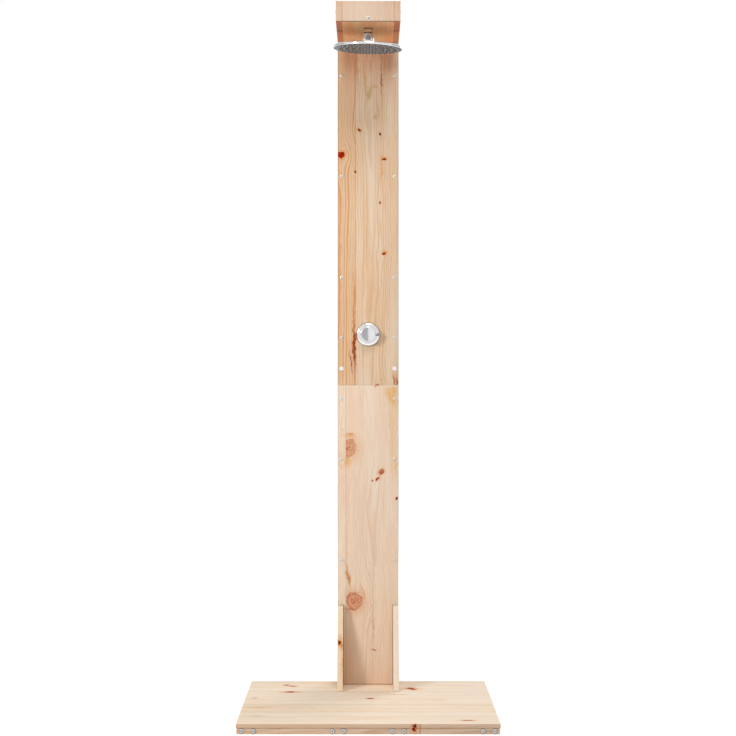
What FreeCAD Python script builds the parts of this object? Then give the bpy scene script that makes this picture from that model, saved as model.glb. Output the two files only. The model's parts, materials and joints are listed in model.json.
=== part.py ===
"""Outdoor shower post: a timber column on a low tray, with a head box and a ball-jointed rain head.

Millimetres. +Z is up, +X is to the right of someone who faces the shower, and that person looks along +Y.
The origin lies on the ground, under the middle of the tray.
"""

import FreeCAD, Part
import math
import os

V = FreeCAD.Vector
X_AXIS, Y_AXIS, Z_AXIS = V(1, 0, 0), V(0, 1, 0), V(0, 0, 1)
SIDES = {"left": -1, "right": 1}

# ---------------------------------------------------------------- driving dimensions

# Tray
TRAY_WIDTH = 790.0
TRAY_DEPTH = 700.0
DECK_THICK = 12.0
DECK_BOARD_SHARES = [0.163, 0.101, 0.162, 0.314, 0.26]  # of the tray's depth, from the front
FRAME_HEIGHT = 19.0  # rails and joists under the deck
FRAME_RAIL_DEPTH = 19.0
FRAME_SIDE_INSET = 2.0
FRAME_FRONT_INSET = 3.0
JOIST_WIDTH = 66.0
INNER_JOIST_X = 89.8
JOIST_SCREW_SPACING = 34.7

# Column
COLUMN_WIDTH = 203.5
COLUMN_TOP = 2183.0
PANEL_THICK = 19.0
PANEL_JOINT_Z = 1033.6
PANEL_BEVEL = 1.6  # on both panels where they meet
SIDE_RAIL_THICK = 25.0
SIDE_RAIL_DEPTH = 45.0
RAIL_JOINT_RISE = 107.9  # above the joint between the panels
SPLICE_THICK = 19.0
SPLICE_LENGTH = 220.0
BATTEN_HEIGHT = 45.0
BATTEN_DEPTH = 15.0
LOWER_BATTEN_SHARES = [0.23, 0.867]  # battens, up each panel's length
UPPER_BATTEN_SHARES = [0.823]
LOWER_SCREW_SHARES = [0.416, 0.753, 0.9555]  # screw rows, up each panel's length
UPPER_SCREW_SHARES = [0.1387, 0.3144, 0.6102, 0.9043]
CONNECTOR_RISE = 56.4  # above the joint between the panels
SCREW_EDGE = 12.8  # screw centres in from the column's sides

# Fins
FIN_THICK = 18.7
FIN_HEIGHT = 268.0
FIN_FOOT = 127.0
FIN_TOP = 30.0
FIN_NOSE = 3.0  # small cut at the foot's front corner
FIN_TONGUE_THICK = 8.0
FIN_TONGUE_DEPTH = 6.0
FIN_TONGUE_STOP = 12.0  # the tongue ends this far below the fin's top

# Head box
HEAD_REACH = 363.0  # fascia face in front of the column face
HEAD_HEIGHT = 62.0
CHEEK_THICK = 19.5
CHEEK_FRONT_LENGTH = 162.6
CHEEK_SPLICE_THICK = 19.0
CHEEK_SPLICE_LENGTH = 150.0
CHEEK_SPLICE_HEIGHT = 20.0
FASCIA_THICK = 19.0
SOFFIT_THICK = 18.0
ROOF_THICK = 18.0
BACK_BOARD_THICK = 12.0
CHEEK_SCREW_RISE = 29.0  # above the column's top

# Screws
WOOD_SCREW_HEAD_R = 4.9
WOOD_SCREW_SHANK_R = 2.3
WOOD_SCREW_LENGTH = 48.0
DECK_SCREW_LENGTH = 27.0
DECK_SCREW_BOARDS = [1, 4, 5]  # the two narrower boards are held by their glue joints
WOOD_SCREW_SINK = 0.3  # heads lie this far below the wood
DECK_SCREW_PLACE = 0.3  # deck screws lie at this share of a board's depth, from its front
CONNECTOR_HEAD_R = 6.4
CONNECTOR_HEAD_HEIGHT = 2.6
CONNECTOR_SHANK_R = 3.2
CONNECTOR_LENGTH = 50.0
CONNECTOR_SOCKET_AF = 5.0
CONNECTOR_SOCKET_DEPTH = 1.8
CAP_R = 7.2
CAP_HEIGHT = 2.0
CAP_ROUND = 1.2
CAP_BORE_DEPTH = 3.2  # counterbore in the panel that the connector head fills
HOLE_GAP = 0.15  # round every shank and head

# Water pipe and its fittings
PIPE_R = 7.0
PIPE_WALL = 1.0
PIPE_BEND_R = 30.0
PIPE_INSERT = 8.0  # length of pipe inside a fitting
FITTING_R = 10.0
PIPE_NUT_AF = 19.0
PIPE_NUT_LENGTH = 10.0
FIT_GAP = 0.05  # radial, between a fitting and what it slides on
CLIP_WALL = 1.4
CLIP_WIDTH = 12.0
CLIP_EAR = 11.0
INLET_THREAD_R = 10.48
INLET_THREAD_LENGTH = 15.0
INLET_BORE_R = 6.0
INLET_HEX_AF = 24.0
INLET_HEX_HEIGHT = 8.0
INLET_BOTTOM_Z = 176.0
SPIGOT_STEP = 1.0  # the elbow's spigot is this much thinner than the shank below it
ELBOW_NECK_R = 9.0

# Valve
VALVE_Z = 1204.6
VALVE_BODY_R = 17.0
VALVE_BODY_BACK = 14.5  # behind the pipe's centre line
VALVE_PORT_REACH = 34.0  # from the valve's axis to a port's mouth
VALVE_SLEEVE_R = 15.0
SLEEVE_SETBACK = 1.0  # the sleeve ends this far behind the plate's face
VALVE_NUT_AF = 41.0
VALVE_NUT_THICK = 6.0
VALVE_WASHER_R = 23.0
VALVE_WASHER_THICK = 2.0
PLUG_R = 10.0
PLUG_LENGTH = 34.0
PLUG_GAP = 0.06
STEM_R = 5.0
STEM_ROOT = 2.5  # the stem starts this far inside the plug
GLAND_LENGTH = 9.0
PLATE_R = 40.0
PLATE_DEPTH = 10.0
PLATE_WALL = 1.5
PLATE_RIM = 2.2
PLATE_FLAT_R = 33.0
PLATE_DROP = 0.6  # the face falls this much from its middle to the edge of the flat
PLATE_SHOULDER_R = 38.4  # middle of the rounded shoulder
PLATE_SHOULDER_HEIGHT = 6.8
KNOB_R = 25.5
KNOB_LENGTH = 29.0
KNOB_EDGE = 3.0
KNOB_FOOT_EDGE = 1.0
KNOB_GAP = 0.9  # between the knob and the plate
KNOB_SOCKET_DEPTH = 16.0
KNOB_WALL = 3.0
KNOB_HUB_R = 9.0
KNOB_HOLLOW_DEPTH = 20.0
LEVER_REACH = 41.0
LEVER_HEIGHT = 9.4
LEVER_THICK = 7.0
LEVER_FRONT = 9.0  # behind the knob's face

# Drop arm and ball joint
ARM_Y = 48.3
ARM_SIDE = 26.0
ARM_DROP = 17.0  # below the soffit
ARM_FLANGE_SIDE = 56.0
ARM_FLANGE_THICK = 3.0
ARM_SHANK_LENGTH = 17.0
BALL_DROP = 33.0  # ball's centre below the soffit
BALL_R = 14.0
NECK_R = 5.5
SHANK_R = 8.0
NECK_LAP = 1.0  # the neck reaches this far into the shank
WATERWAY_R = 3.2
LINER_THICK = 1.2
BALL_GAP = 0.05  # on each side of the liner
RING_TOP_DEG = 52.0  # angles from straight up
RING_BOTTOM_DEG = 82.0
CUP_TOP_DEG = 108.0
CUP_BOTTOM_DEG = 148.0
DOME_R = 21.6
DOME_MOUTH_DEG = 45.0
DOME_SKIRT_R = 19.75
DOME_BOTTOM = 17.0  # below the ball's centre
DOME_SPLIT = 3.0
BOSS_R = 17.2
ARM_DOME_GAP = 0.5

# Rain head, measured from the ball's centre along the head's own axis
HEAD_R = 112.5
HEAD_FACE = 32.6
HEAD_RIM = 7.2
HEAD_RIM_ROUND = 2.0
HEAD_CROWN_R = 24.0
HEAD_CROWN = 17.2
HEAD_WALL = 1.8
HEAD_MIDWAY_R = 55.0  # the crown's curve passes this point on its way to the rim
HEAD_MIDWAY_RISE = 3.4  # above the rim's top
HEAD_INNER_R = 28.0  # the cavity's roof is lower outside this
HEAD_INNER_DROP = 1.6
MAT_ROOM = 0.4  # above the mat
INLET_FUNNEL_R = 6.4
FACE_PLATE_R = 109.0
FACE_PLATE_THICK = 1.8
MAT_R = 104.0
MAT_THICK = 1.8
NOZZLE_RINGS = 5
NOZZLE_PITCH = 19.4
NOZZLE_BASE_R = 2.3
NOZZLE_TIP_R = 1.5
NOZZLE_PROUD = 1.5
NOZZLE_GAP = 0.12
NOZZLE_SIDES = 6
HEAD_TILT = 2.0  # front edge down
HEAD_ROLL = 1.55  # right edge down

# ---------------------------------------------------------------- derived places

TRAY_FRONT = -TRAY_DEPTH / 2
TRAY_BACK = TRAY_DEPTH / 2
DECK_TOP = FRAME_HEIGHT + DECK_THICK
FRAME_HALF = TRAY_WIDTH / 2 - FRAME_SIDE_INSET
FRAME_FRONT = TRAY_FRONT + FRAME_FRONT_INSET
JOIST_FRONT = FRAME_FRONT + FRAME_RAIL_DEPTH
OUTER_JOIST_X = FRAME_HALF - JOIST_WIDTH / 2
JOIST_X = [-OUTER_JOIST_X, -INNER_JOIST_X, INNER_JOIST_X, OUTER_JOIST_X]

COLUMN_HALF = COLUMN_WIDTH / 2
COLUMN_BACK = TRAY_BACK
RAIL_FRONT = COLUMN_BACK - SIDE_RAIL_DEPTH
PANEL_FRONT = RAIL_FRONT - PANEL_THICK
RAIL_INNER = COLUMN_HALF - SIDE_RAIL_THICK
RAIL_JOINT_Z = PANEL_JOINT_Z + RAIL_JOINT_RISE
CONNECTOR_Z = PANEL_JOINT_Z + CONNECTOR_RISE
SCREW_X = COLUMN_HALF - SCREW_EDGE


def up_the_panels(lower_shares, upper_shares):
    """Heights at the given shares of the lower and of the upper panel's length."""
    lower = [DECK_TOP + share * (PANEL_JOINT_Z - DECK_TOP) for share in lower_shares]
    upper = [PANEL_JOINT_Z + share * (COLUMN_TOP - PANEL_JOINT_Z) for share in upper_shares]
    return lower + upper


PANEL_SCREW_Z = up_the_panels(LOWER_SCREW_SHARES, UPPER_SCREW_SHARES)
BATTEN_Z = up_the_panels(LOWER_BATTEN_SHARES, UPPER_BATTEN_SHARES)

FASCIA_FRONT = PANEL_FRONT - HEAD_REACH
FASCIA_BACK = FASCIA_FRONT + FASCIA_THICK
HEAD_TOP = COLUMN_TOP + HEAD_HEIGHT
CHEEK_INNER = COLUMN_HALF - CHEEK_THICK
CHEEK_JOINT_Y = FASCIA_FRONT + CHEEK_FRONT_LENGTH
SOFFIT_TOP = COLUMN_TOP + SOFFIT_THICK
ROOF_BOTTOM = HEAD_TOP - ROOF_THICK

PIPE_Y = RAIL_FRONT + BATTEN_DEPTH + PIPE_R
PIPE_TOP_Z = (SOFFIT_TOP + ROOF_BOTTOM) / 2
PLATE_FRONT = PANEL_FRONT - PLATE_DEPTH
KNOB_BACK = PLATE_FRONT - KNOB_GAP
KNOB_FRONT = KNOB_BACK - KNOB_LENGTH

BALL_Z = COLUMN_TOP - BALL_DROP
BALL_CENTRE = V(0, ARM_Y, BALL_Z)
ARM_BOTTOM = COLUMN_TOP - ARM_DROP
ARM_TOP = SOFFIT_TOP + ARM_FLANGE_THICK
LINER_INNER_R = BALL_R + BALL_GAP
LINER_OUTER_R = LINER_INNER_R + LINER_THICK
SEAT_R = LINER_OUTER_R + BALL_GAP

nodes = {}
fastenings = {"wood_screws": [], "connector_screws": [], "deck_screws": []}


# ---------------------------------------------------------------- helpers


def box(x0, x1, y0, y1, z0, z1):
    """Box between two corners."""
    return Part.makeBox(x1 - x0, y1 - y0, z1 - z0, V(x0, y0, z0))


def rod(radius, start, axis, length):
    """Round bar from a point along an axis."""
    return Part.makeCylinder(radius, length, start, axis)


def cone(radius_a, radius_b, start, axis, length):
    """Taper from one radius at a point to another along an axis."""
    return Part.makeCone(radius_a, radius_b, length, start, axis)


def hexagon_bar(across_flats, start, axis, length):
    """Hexagonal bar from a point along an axis."""
    corner = across_flats / math.sqrt(3)
    return polygon_bar(6, corner, corner, start, axis, length)


def polygon_bar(sides, corner_a, corner_b, start, axis, length):
    """Straight or tapered bar with flat sides; the corners' radii are given at both ends."""
    turn = FreeCAD.Rotation(Z_AXIS, axis)
    rings = []
    for corner, height in ((corner_a, 0.0), (corner_b, length)):
        points = []
        for i in range(sides + 1):
            angle = 2 * math.pi * (i % sides) / sides
            local = V(corner * math.cos(angle), corner * math.sin(angle), height)
            points.append(start + turn.multVec(local))
        rings.append(Part.makePolygon(points))
    return Part.makeLoft(rings, True, True)


def revolve_up(outline, centre=V(0, 0, 0)):
    """Turns an outline of (radius, height) points and arcs about the vertical through a centre.

    A corner is (radius, height); an arc is (mid radius, mid height, end radius, end height).
    """
    def point(radius, height):
        return centre + V(radius, 0, height)

    steps = outline[1:]
    if math.dist(steps[-1][-2:], outline[0]) > 1e-6:
        steps = steps + [outline[0]]
    edges = []
    here = outline[0]
    for step in steps:
        end = step[-2:]
        if len(step) == 4:
            edges.append(Part.Arc(point(*here), point(*step[:2]), point(*end)).toShape())
        else:
            edges.append(Part.LineSegment(point(*here), point(*end)).toShape())
        here = end
    face = Part.Face(Part.Wire(edges))
    return face.revolve(centre, Z_AXIS, 360)


def on_sphere(radius, degrees):
    """(radius, height) of a point on a sphere, by its angle from straight up."""
    angle = math.radians(degrees)
    return (radius * math.sin(angle), radius * math.cos(angle))


def facing_viewer(shape, height):
    """Turns a shape made about the vertical, base at zero, to stand out of the column face at a height."""
    shape.rotate(V(0, 0, 0), X_AXIS, 90)
    shape.translate(V(0, PANEL_FRONT, height))
    return shape


def drill(hole, *names):
    """Cuts the same hole in each of the named pieces."""
    for name in names:
        nodes[name] = nodes[name].cut(hole)


def wood_screw(seat, axis, gap=0.0, total=WOOD_SCREW_LENGTH):
    """Countersunk wood screw that goes in along an axis; with a gap, the space to cut for it."""
    head_height = WOOD_SCREW_HEAD_R - WOOD_SCREW_SHANK_R
    if gap:
        mouth = rod(WOOD_SCREW_HEAD_R + gap, seat, axis, WOOD_SCREW_SINK)
        start = seat + axis * WOOD_SCREW_SINK
        sink = cone(WOOD_SCREW_HEAD_R + gap, WOOD_SCREW_SHANK_R + gap, start, axis, head_height)
        shank = rod(WOOD_SCREW_SHANK_R + gap, seat, axis, total + gap)
        return mouth.fuse([sink, shank])
    start = seat + axis * WOOD_SCREW_SINK
    head = cone(WOOD_SCREW_HEAD_R, WOOD_SCREW_SHANK_R, start, axis, head_height)
    return head.fuse(rod(WOOD_SCREW_SHANK_R, start, axis, total - WOOD_SCREW_SINK))


def connector_screw(seat, axis):
    """Connector screw with a flat round socket head that stands on the wood."""
    head_top = seat - axis * CONNECTOR_HEAD_HEIGHT
    head = rod(CONNECTOR_HEAD_R, head_top, axis, CONNECTOR_HEAD_HEIGHT)
    socket = hexagon_bar(CONNECTOR_SOCKET_AF, head_top, axis, CONNECTOR_SOCKET_DEPTH)
    return head.cut(socket).fuse(rod(CONNECTOR_SHANK_R, seat, axis, CONNECTOR_LENGTH))


def connector_hole(seat, axis):
    """Space for the shank of a connector screw."""
    return rod(CONNECTOR_SHANK_R + HOLE_GAP, seat, axis, CONNECTOR_LENGTH + HOLE_GAP)


def pipe(route, bend):
    """Round pipe along straight runs, with one bend of a given arc between two runs, or none."""
    start, end = route[0], route[-1]
    edges = []
    if bend is None:
        edges.append(Part.LineSegment(start, end).toShape())
    else:
        edges.append(Part.LineSegment(start, bend[0]).toShape())
        edges.append(Part.Arc(*bend).toShape())
        edges.append(Part.LineSegment(bend[2], end).toShape())
    path = Part.Wire(edges)
    direction = edges[0].Vertexes[-1].Point - edges[0].Vertexes[0].Point

    def swept(radius):
        ring = Part.Wire(Part.Circle(start, direction, radius).toShape())
        return path.makePipe(Part.Face(ring))

    return swept(PIPE_R).cut(swept(PIPE_R - PIPE_WALL))


# ---------------------------------------------------------------- tray


def make_tray():
    """Deck boards on rails and joists, notched at the back for the column's feet."""
    depths = [share * TRAY_DEPTH for share in DECK_BOARD_SHARES]
    notch = box(-COLUMN_HALF - HOLE_GAP, COLUMN_HALF + HOLE_GAP, RAIL_FRONT, TRAY_BACK, 0, DECK_TOP)
    front = TRAY_FRONT
    for number, depth in enumerate(depths, 1):
        board = box(-TRAY_WIDTH / 2, TRAY_WIDTH / 2, front, front + depth, FRAME_HEIGHT, DECK_TOP)
        nodes[f"deck_board_{number}"] = board.cut(notch) if front + depth > RAIL_FRONT else board
        front += depth

    back_rail_front = TRAY_BACK - FRAME_RAIL_DEPTH
    nodes["front_rail"] = box(-FRAME_HALF, FRAME_HALF, FRAME_FRONT, JOIST_FRONT, 0, FRAME_HEIGHT)
    for name, side in SIDES.items():
        inner, outer = sorted((side * (COLUMN_HALF + HOLE_GAP), side * FRAME_HALF))
        nodes[f"back_rail_{name}"] = box(inner, outer, back_rail_front, TRAY_BACK, 0, FRAME_HEIGHT)

    for number, x in enumerate(JOIST_X, 1):
        back = RAIL_FRONT if abs(x) == INNER_JOIST_X else back_rail_front
        joist = box(x - JOIST_WIDTH / 2, x + JOIST_WIDTH / 2, JOIST_FRONT, back, 0, FRAME_HEIGHT)
        nodes[f"joist_{number}"] = joist
        for side in SIDES.values():
            seat = V(x + side * JOIST_SCREW_SPACING / 2, FRAME_FRONT, FRAME_HEIGHT / 2)
            fastenings["connector_screws"].append(connector_screw(seat, Y_AXIS))
            drill(connector_hole(seat, Y_AXIS), "front_rail", f"joist_{number}")
        front = TRAY_FRONT
        for board, depth in enumerate(depths, 1):
            seat = V(x, front + depth * DECK_SCREW_PLACE, 0)
            if board in DECK_SCREW_BOARDS:
                fastenings["deck_screws"].append(wood_screw(seat, Z_AXIS, 0.0, DECK_SCREW_LENGTH))
                hole = wood_screw(seat, Z_AXIS, HOLE_GAP, DECK_SCREW_LENGTH)
                drill(hole, f"deck_board_{board}", f"joist_{number}")
            front += depth


# ---------------------------------------------------------------- column


def make_column():
    """Front panels on two side rails, each rail in two lengths, with cross battens between them."""
    lower = box(-COLUMN_HALF, COLUMN_HALF, PANEL_FRONT, RAIL_FRONT, DECK_TOP, PANEL_JOINT_Z)
    upper = box(-COLUMN_HALF, COLUMN_HALF, PANEL_FRONT, RAIL_FRONT, PANEL_JOINT_Z, COLUMN_TOP)
    groove = Part.makePolygon([
        V(-COLUMN_HALF, PANEL_FRONT, PANEL_JOINT_Z - PANEL_BEVEL),
        V(-COLUMN_HALF, PANEL_FRONT + PANEL_BEVEL, PANEL_JOINT_Z),
        V(-COLUMN_HALF, PANEL_FRONT, PANEL_JOINT_Z + PANEL_BEVEL),
        V(-COLUMN_HALF, PANEL_FRONT, PANEL_JOINT_Z - PANEL_BEVEL),
    ])
    groove = Part.Face(groove).extrude(X_AXIS * COLUMN_WIDTH)
    nodes["lower_front_panel"] = lower.cut(groove)
    valve_hole = rod(VALVE_SLEEVE_R + HOLE_GAP, V(0, PANEL_FRONT, VALVE_Z), Y_AXIS, PANEL_THICK)
    nodes["upper_front_panel"] = upper.cut(groove).cut(valve_hole)

    caps = []
    for name, side in SIDES.items():
        inner, outer = sorted((side * RAIL_INNER, side * COLUMN_HALF))
        lower_rail, upper_rail = f"lower_side_rail_{name}", f"upper_side_rail_{name}"
        nodes[lower_rail] = box(inner, outer, RAIL_FRONT, COLUMN_BACK, 0, RAIL_JOINT_Z)
        nodes[upper_rail] = box(inner, outer, RAIL_FRONT, COLUMN_BACK, RAIL_JOINT_Z, COLUMN_TOP)
        for z in PANEL_SCREW_Z:
            seat = V(side * SCREW_X, PANEL_FRONT, z)
            fastenings["wood_screws"].append(wood_screw(seat, Y_AXIS))
            panel = "lower_front_panel" if z < PANEL_JOINT_Z else "upper_front_panel"
            rail = lower_rail if z < RAIL_JOINT_Z else upper_rail
            drill(wood_screw(seat, Y_AXIS, HOLE_GAP), panel, rail)
        face = V(side * SCREW_X, PANEL_FRONT, CONNECTOR_Z)
        seat = face + Y_AXIS * CAP_BORE_DEPTH
        fastenings["connector_screws"].append(connector_screw(seat, Y_AXIS))
        drill(rod(CONNECTOR_HEAD_R + HOLE_GAP, face, Y_AXIS, CAP_BORE_DEPTH), "upper_front_panel")
        drill(connector_hole(seat, Y_AXIS), "upper_front_panel", lower_rail)
        caps.append(screw_cap(face))
        inner, outer = sorted((side * (RAIL_INNER - SPLICE_THICK), side * RAIL_INNER))
        splice_bottom = RAIL_JOINT_Z - SPLICE_LENGTH / 2
        nodes[f"splice_block_{name}"] = box(
            inner, outer, RAIL_FRONT, COLUMN_BACK, splice_bottom, splice_bottom + SPLICE_LENGTH
        )

    nodes["connector_caps"] = Part.makeCompound(caps)

    for number, z in enumerate(BATTEN_Z, 1):
        nodes[f"cross_batten_{number}"] = box(
            -RAIL_INNER, RAIL_INNER, RAIL_FRONT, RAIL_FRONT + BATTEN_DEPTH,
            z - BATTEN_HEIGHT / 2, z + BATTEN_HEIGHT / 2,
        )


def screw_cap(face):
    """Low round cap that covers a connector screw, with its front edge rounded."""
    cap = rod(CAP_R, face, -Y_AXIS, CAP_HEIGHT)
    front_edge = min(cap.Edges, key=lambda edge: edge.BoundBox.YMax)
    return cap.makeFillet(CAP_ROUND, [front_edge])


def make_fins():
    """Two tapered fins, each with a tongue let into a stopped groove in the lower panel's face."""
    top = DECK_TOP + FIN_HEIGHT
    profile = Part.makePolygon([
        V(0, PANEL_FRONT, DECK_TOP),
        V(0, PANEL_FRONT - FIN_FOOT + FIN_NOSE, DECK_TOP),
        V(0, PANEL_FRONT - FIN_FOOT, DECK_TOP + FIN_NOSE),
        V(0, PANEL_FRONT - FIN_TOP, top),
        V(0, PANEL_FRONT, top),
        V(0, PANEL_FRONT, DECK_TOP),
    ])
    tongue_top = top - FIN_TONGUE_STOP
    for name, side in SIDES.items():
        inner = min(side * (COLUMN_HALF - FIN_THICK), side * COLUMN_HALF)
        middle = inner + FIN_THICK / 2
        fin = Part.Face(profile).extrude(X_AXIS * FIN_THICK)
        fin.translate(V(inner, 0, 0))
        tongue = box(
            middle - FIN_TONGUE_THICK / 2, middle + FIN_TONGUE_THICK / 2,
            PANEL_FRONT, PANEL_FRONT + FIN_TONGUE_DEPTH - HOLE_GAP, DECK_TOP, tongue_top,
        )
        nodes[f"fin_{name}"] = fin.fuse(tongue).removeSplitter()
        groove = box(
            middle - FIN_TONGUE_THICK / 2 - HOLE_GAP, middle + FIN_TONGUE_THICK / 2 + HOLE_GAP,
            PANEL_FRONT, PANEL_FRONT + FIN_TONGUE_DEPTH, DECK_TOP, tongue_top + HOLE_GAP,
        )
        drill(groove, "lower_front_panel")


# ---------------------------------------------------------------- head box


def make_head_box():
    """Cheeks, fascia, soffit, roof and back board, reaching forward from the top of the column."""
    nodes["fascia"] = box(-CHEEK_INNER, CHEEK_INNER, FASCIA_FRONT, FASCIA_BACK, COLUMN_TOP, HEAD_TOP)
    soffit = box(-CHEEK_INNER, CHEEK_INNER, FASCIA_BACK, RAIL_FRONT, COLUMN_TOP, SOFFIT_TOP)
    opening = ARM_SIDE / 2 + HOLE_GAP
    soffit = soffit.cut(box(-opening, opening, ARM_Y - opening, ARM_Y + opening, COLUMN_TOP, SOFFIT_TOP))
    nodes["soffit_board"] = soffit
    back = COLUMN_BACK - BACK_BOARD_THICK
    nodes["roof_board"] = box(-CHEEK_INNER, CHEEK_INNER, FASCIA_BACK, COLUMN_BACK, ROOF_BOTTOM, HEAD_TOP)
    nodes["head_back_board"] = box(-CHEEK_INNER, CHEEK_INNER, back, COLUMN_BACK, COLUMN_TOP, ROOF_BOTTOM)

    seat = V(0, FASCIA_FRONT, COLUMN_TOP + SOFFIT_THICK / 2)
    fastenings["wood_screws"].append(wood_screw(seat, Y_AXIS))
    drill(wood_screw(seat, Y_AXIS, HOLE_GAP), "fascia", "soffit_board")

    splices = []
    for name, side in SIDES.items():
        inner, outer = sorted((side * CHEEK_INNER, side * COLUMN_HALF))
        nodes[f"front_cheek_{name}"] = box(
            inner, outer, FASCIA_FRONT, CHEEK_JOINT_Y, COLUMN_TOP, HEAD_TOP
        )
        seat = V(side * COLUMN_HALF, (FASCIA_FRONT + FASCIA_BACK) / 2, COLUMN_TOP + CHEEK_SCREW_RISE)
        inward = X_AXIS * -side
        fastenings["wood_screws"].append(wood_screw(seat, inward))
        drill(wood_screw(seat, inward, HOLE_GAP), f"front_cheek_{name}", "fascia")
        nodes[f"rear_cheek_{name}"] = box(
            inner, outer, CHEEK_JOINT_Y, COLUMN_BACK, COLUMN_TOP, HEAD_TOP
        )
        inner, outer = sorted((side * (CHEEK_INNER - CHEEK_SPLICE_THICK), side * CHEEK_INNER))
        splices.append(box(
            inner, outer, CHEEK_JOINT_Y - CHEEK_SPLICE_LENGTH / 2, CHEEK_JOINT_Y + CHEEK_SPLICE_LENGTH / 2,
            SOFFIT_TOP, SOFFIT_TOP + CHEEK_SPLICE_HEIGHT,
        ))
    nodes["cheek_splices"] = Part.makeCompound(splices)


# ---------------------------------------------------------------- water pipe


def make_pipes():
    """Inlet nipple, feed pipe to the valve, riser pipe to the drop arm, with their nuts and clips."""
    hex_bottom = INLET_BOTTOM_Z + INLET_THREAD_LENGTH
    hex_top = hex_bottom + INLET_HEX_HEIGHT
    foot = V(0, PIPE_Y, INLET_BOTTOM_Z)
    nipple = rod(INLET_THREAD_R, foot, Z_AXIS, INLET_THREAD_LENGTH)
    nipple = nipple.fuse(hexagon_bar(INLET_HEX_AF, V(0, PIPE_Y, hex_bottom), Z_AXIS, INLET_HEX_HEIGHT))
    nipple = nipple.fuse(rod(FITTING_R, V(0, PIPE_Y, hex_top), Z_AXIS, PIPE_INSERT))
    nipple = nipple.cut(rod(INLET_BORE_R, foot, Z_AXIS, INLET_THREAD_LENGTH + INLET_HEX_HEIGHT))
    nipple = nipple.cut(rod(PIPE_R + FIT_GAP, V(0, PIPE_Y, hex_top), Z_AXIS, PIPE_INSERT))
    nodes["inlet_nipple"] = nipple

    feed_start = V(0, PIPE_Y, hex_top)
    feed_end = V(0, PIPE_Y, VALVE_Z - VALVE_PORT_REACH + PIPE_INSERT)
    nodes["feed_pipe"] = pipe([feed_start, feed_end], None)

    elbow_centre = V(0, ARM_Y, PIPE_TOP_Z)
    elbow_mouth = ARM_Y + FITTING_R + PIPE_INSERT
    riser_start = V(0, PIPE_Y, VALVE_Z + VALVE_PORT_REACH - PIPE_INSERT)
    riser_end = V(0, elbow_mouth - PIPE_INSERT, PIPE_TOP_Z)
    centre = V(0, PIPE_Y - PIPE_BEND_R, PIPE_TOP_Z - PIPE_BEND_R)
    slant = PIPE_BEND_R / math.sqrt(2)
    bend = (centre + V(0, PIPE_BEND_R, 0), centre + V(0, slant, slant), centre + V(0, 0, PIPE_BEND_R))
    nodes["riser_pipe"] = pipe([riser_start, riser_end], bend)

    spigot_r = SHANK_R - SPIGOT_STEP
    elbow_back = V(0, ARM_Y - FITTING_R, PIPE_TOP_Z)
    elbow = rod(FITTING_R, elbow_back, Y_AXIS, elbow_mouth - elbow_back.y)
    elbow = elbow.fuse(rod(ELBOW_NECK_R, elbow_centre, -Z_AXIS, PIPE_TOP_Z - ARM_TOP))
    elbow = elbow.fuse(rod(spigot_r, elbow_centre, -Z_AXIS, PIPE_TOP_Z - ARM_TOP + PIPE_INSERT))
    elbow = elbow.cut(rod(PIPE_R + FIT_GAP, riser_end, Y_AXIS, PIPE_INSERT))
    elbow = elbow.cut(rod(WATERWAY_R, elbow_centre, Y_AXIS, elbow_mouth - ARM_Y))
    elbow = elbow.cut(rod(WATERWAY_R, elbow_centre, -Z_AXIS, PIPE_TOP_Z - ARM_TOP + PIPE_INSERT))
    nodes["arm_elbow"] = elbow.removeSplitter()

    nuts = []
    for mouth, axis in (
        (V(0, PIPE_Y, hex_top + PIPE_INSERT), Z_AXIS),
        (V(0, PIPE_Y, VALVE_Z - VALVE_PORT_REACH), -Z_AXIS),
        (V(0, PIPE_Y, VALVE_Z + VALVE_PORT_REACH), Z_AXIS),
        (V(0, elbow_mouth, PIPE_TOP_Z), Y_AXIS),
    ):
        nut = hexagon_bar(PIPE_NUT_AF, mouth, axis, PIPE_NUT_LENGTH)
        nuts.append(nut.cut(rod(PIPE_R + FIT_GAP, mouth, axis, PIPE_NUT_LENGTH)))
    nodes["pipe_nuts"] = Part.makeCompound(nuts)

    clips = []
    batten_back = RAIL_FRONT + BATTEN_DEPTH
    outer = PIPE_R + FIT_GAP + CLIP_WALL
    for z in BATTEN_Z:
        base = V(0, PIPE_Y, z - CLIP_WIDTH / 2)
        hoop = rod(outer, base, Z_AXIS, CLIP_WIDTH)
        hoop = hoop.fuse(box(-outer, outer, batten_back, PIPE_Y, base.z, base.z + CLIP_WIDTH))
        hoop = hoop.fuse(box(
            -outer - CLIP_EAR, outer + CLIP_EAR, batten_back, batten_back + CLIP_WALL,
            base.z, base.z + CLIP_WIDTH,
        ))
        hoop = hoop.cut(rod(PIPE_R + FIT_GAP, base, Z_AXIS, CLIP_WIDTH))
        slot = PIPE_R + FIT_GAP
        hoop = hoop.cut(box(-slot, slot, batten_back - CLIP_WALL * 2, PIPE_Y, base.z, base.z + CLIP_WIDTH))
        clips.append(hoop.removeSplitter())
    nodes["pipe_clips"] = Part.makeCompound(clips)


# ---------------------------------------------------------------- valve


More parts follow.
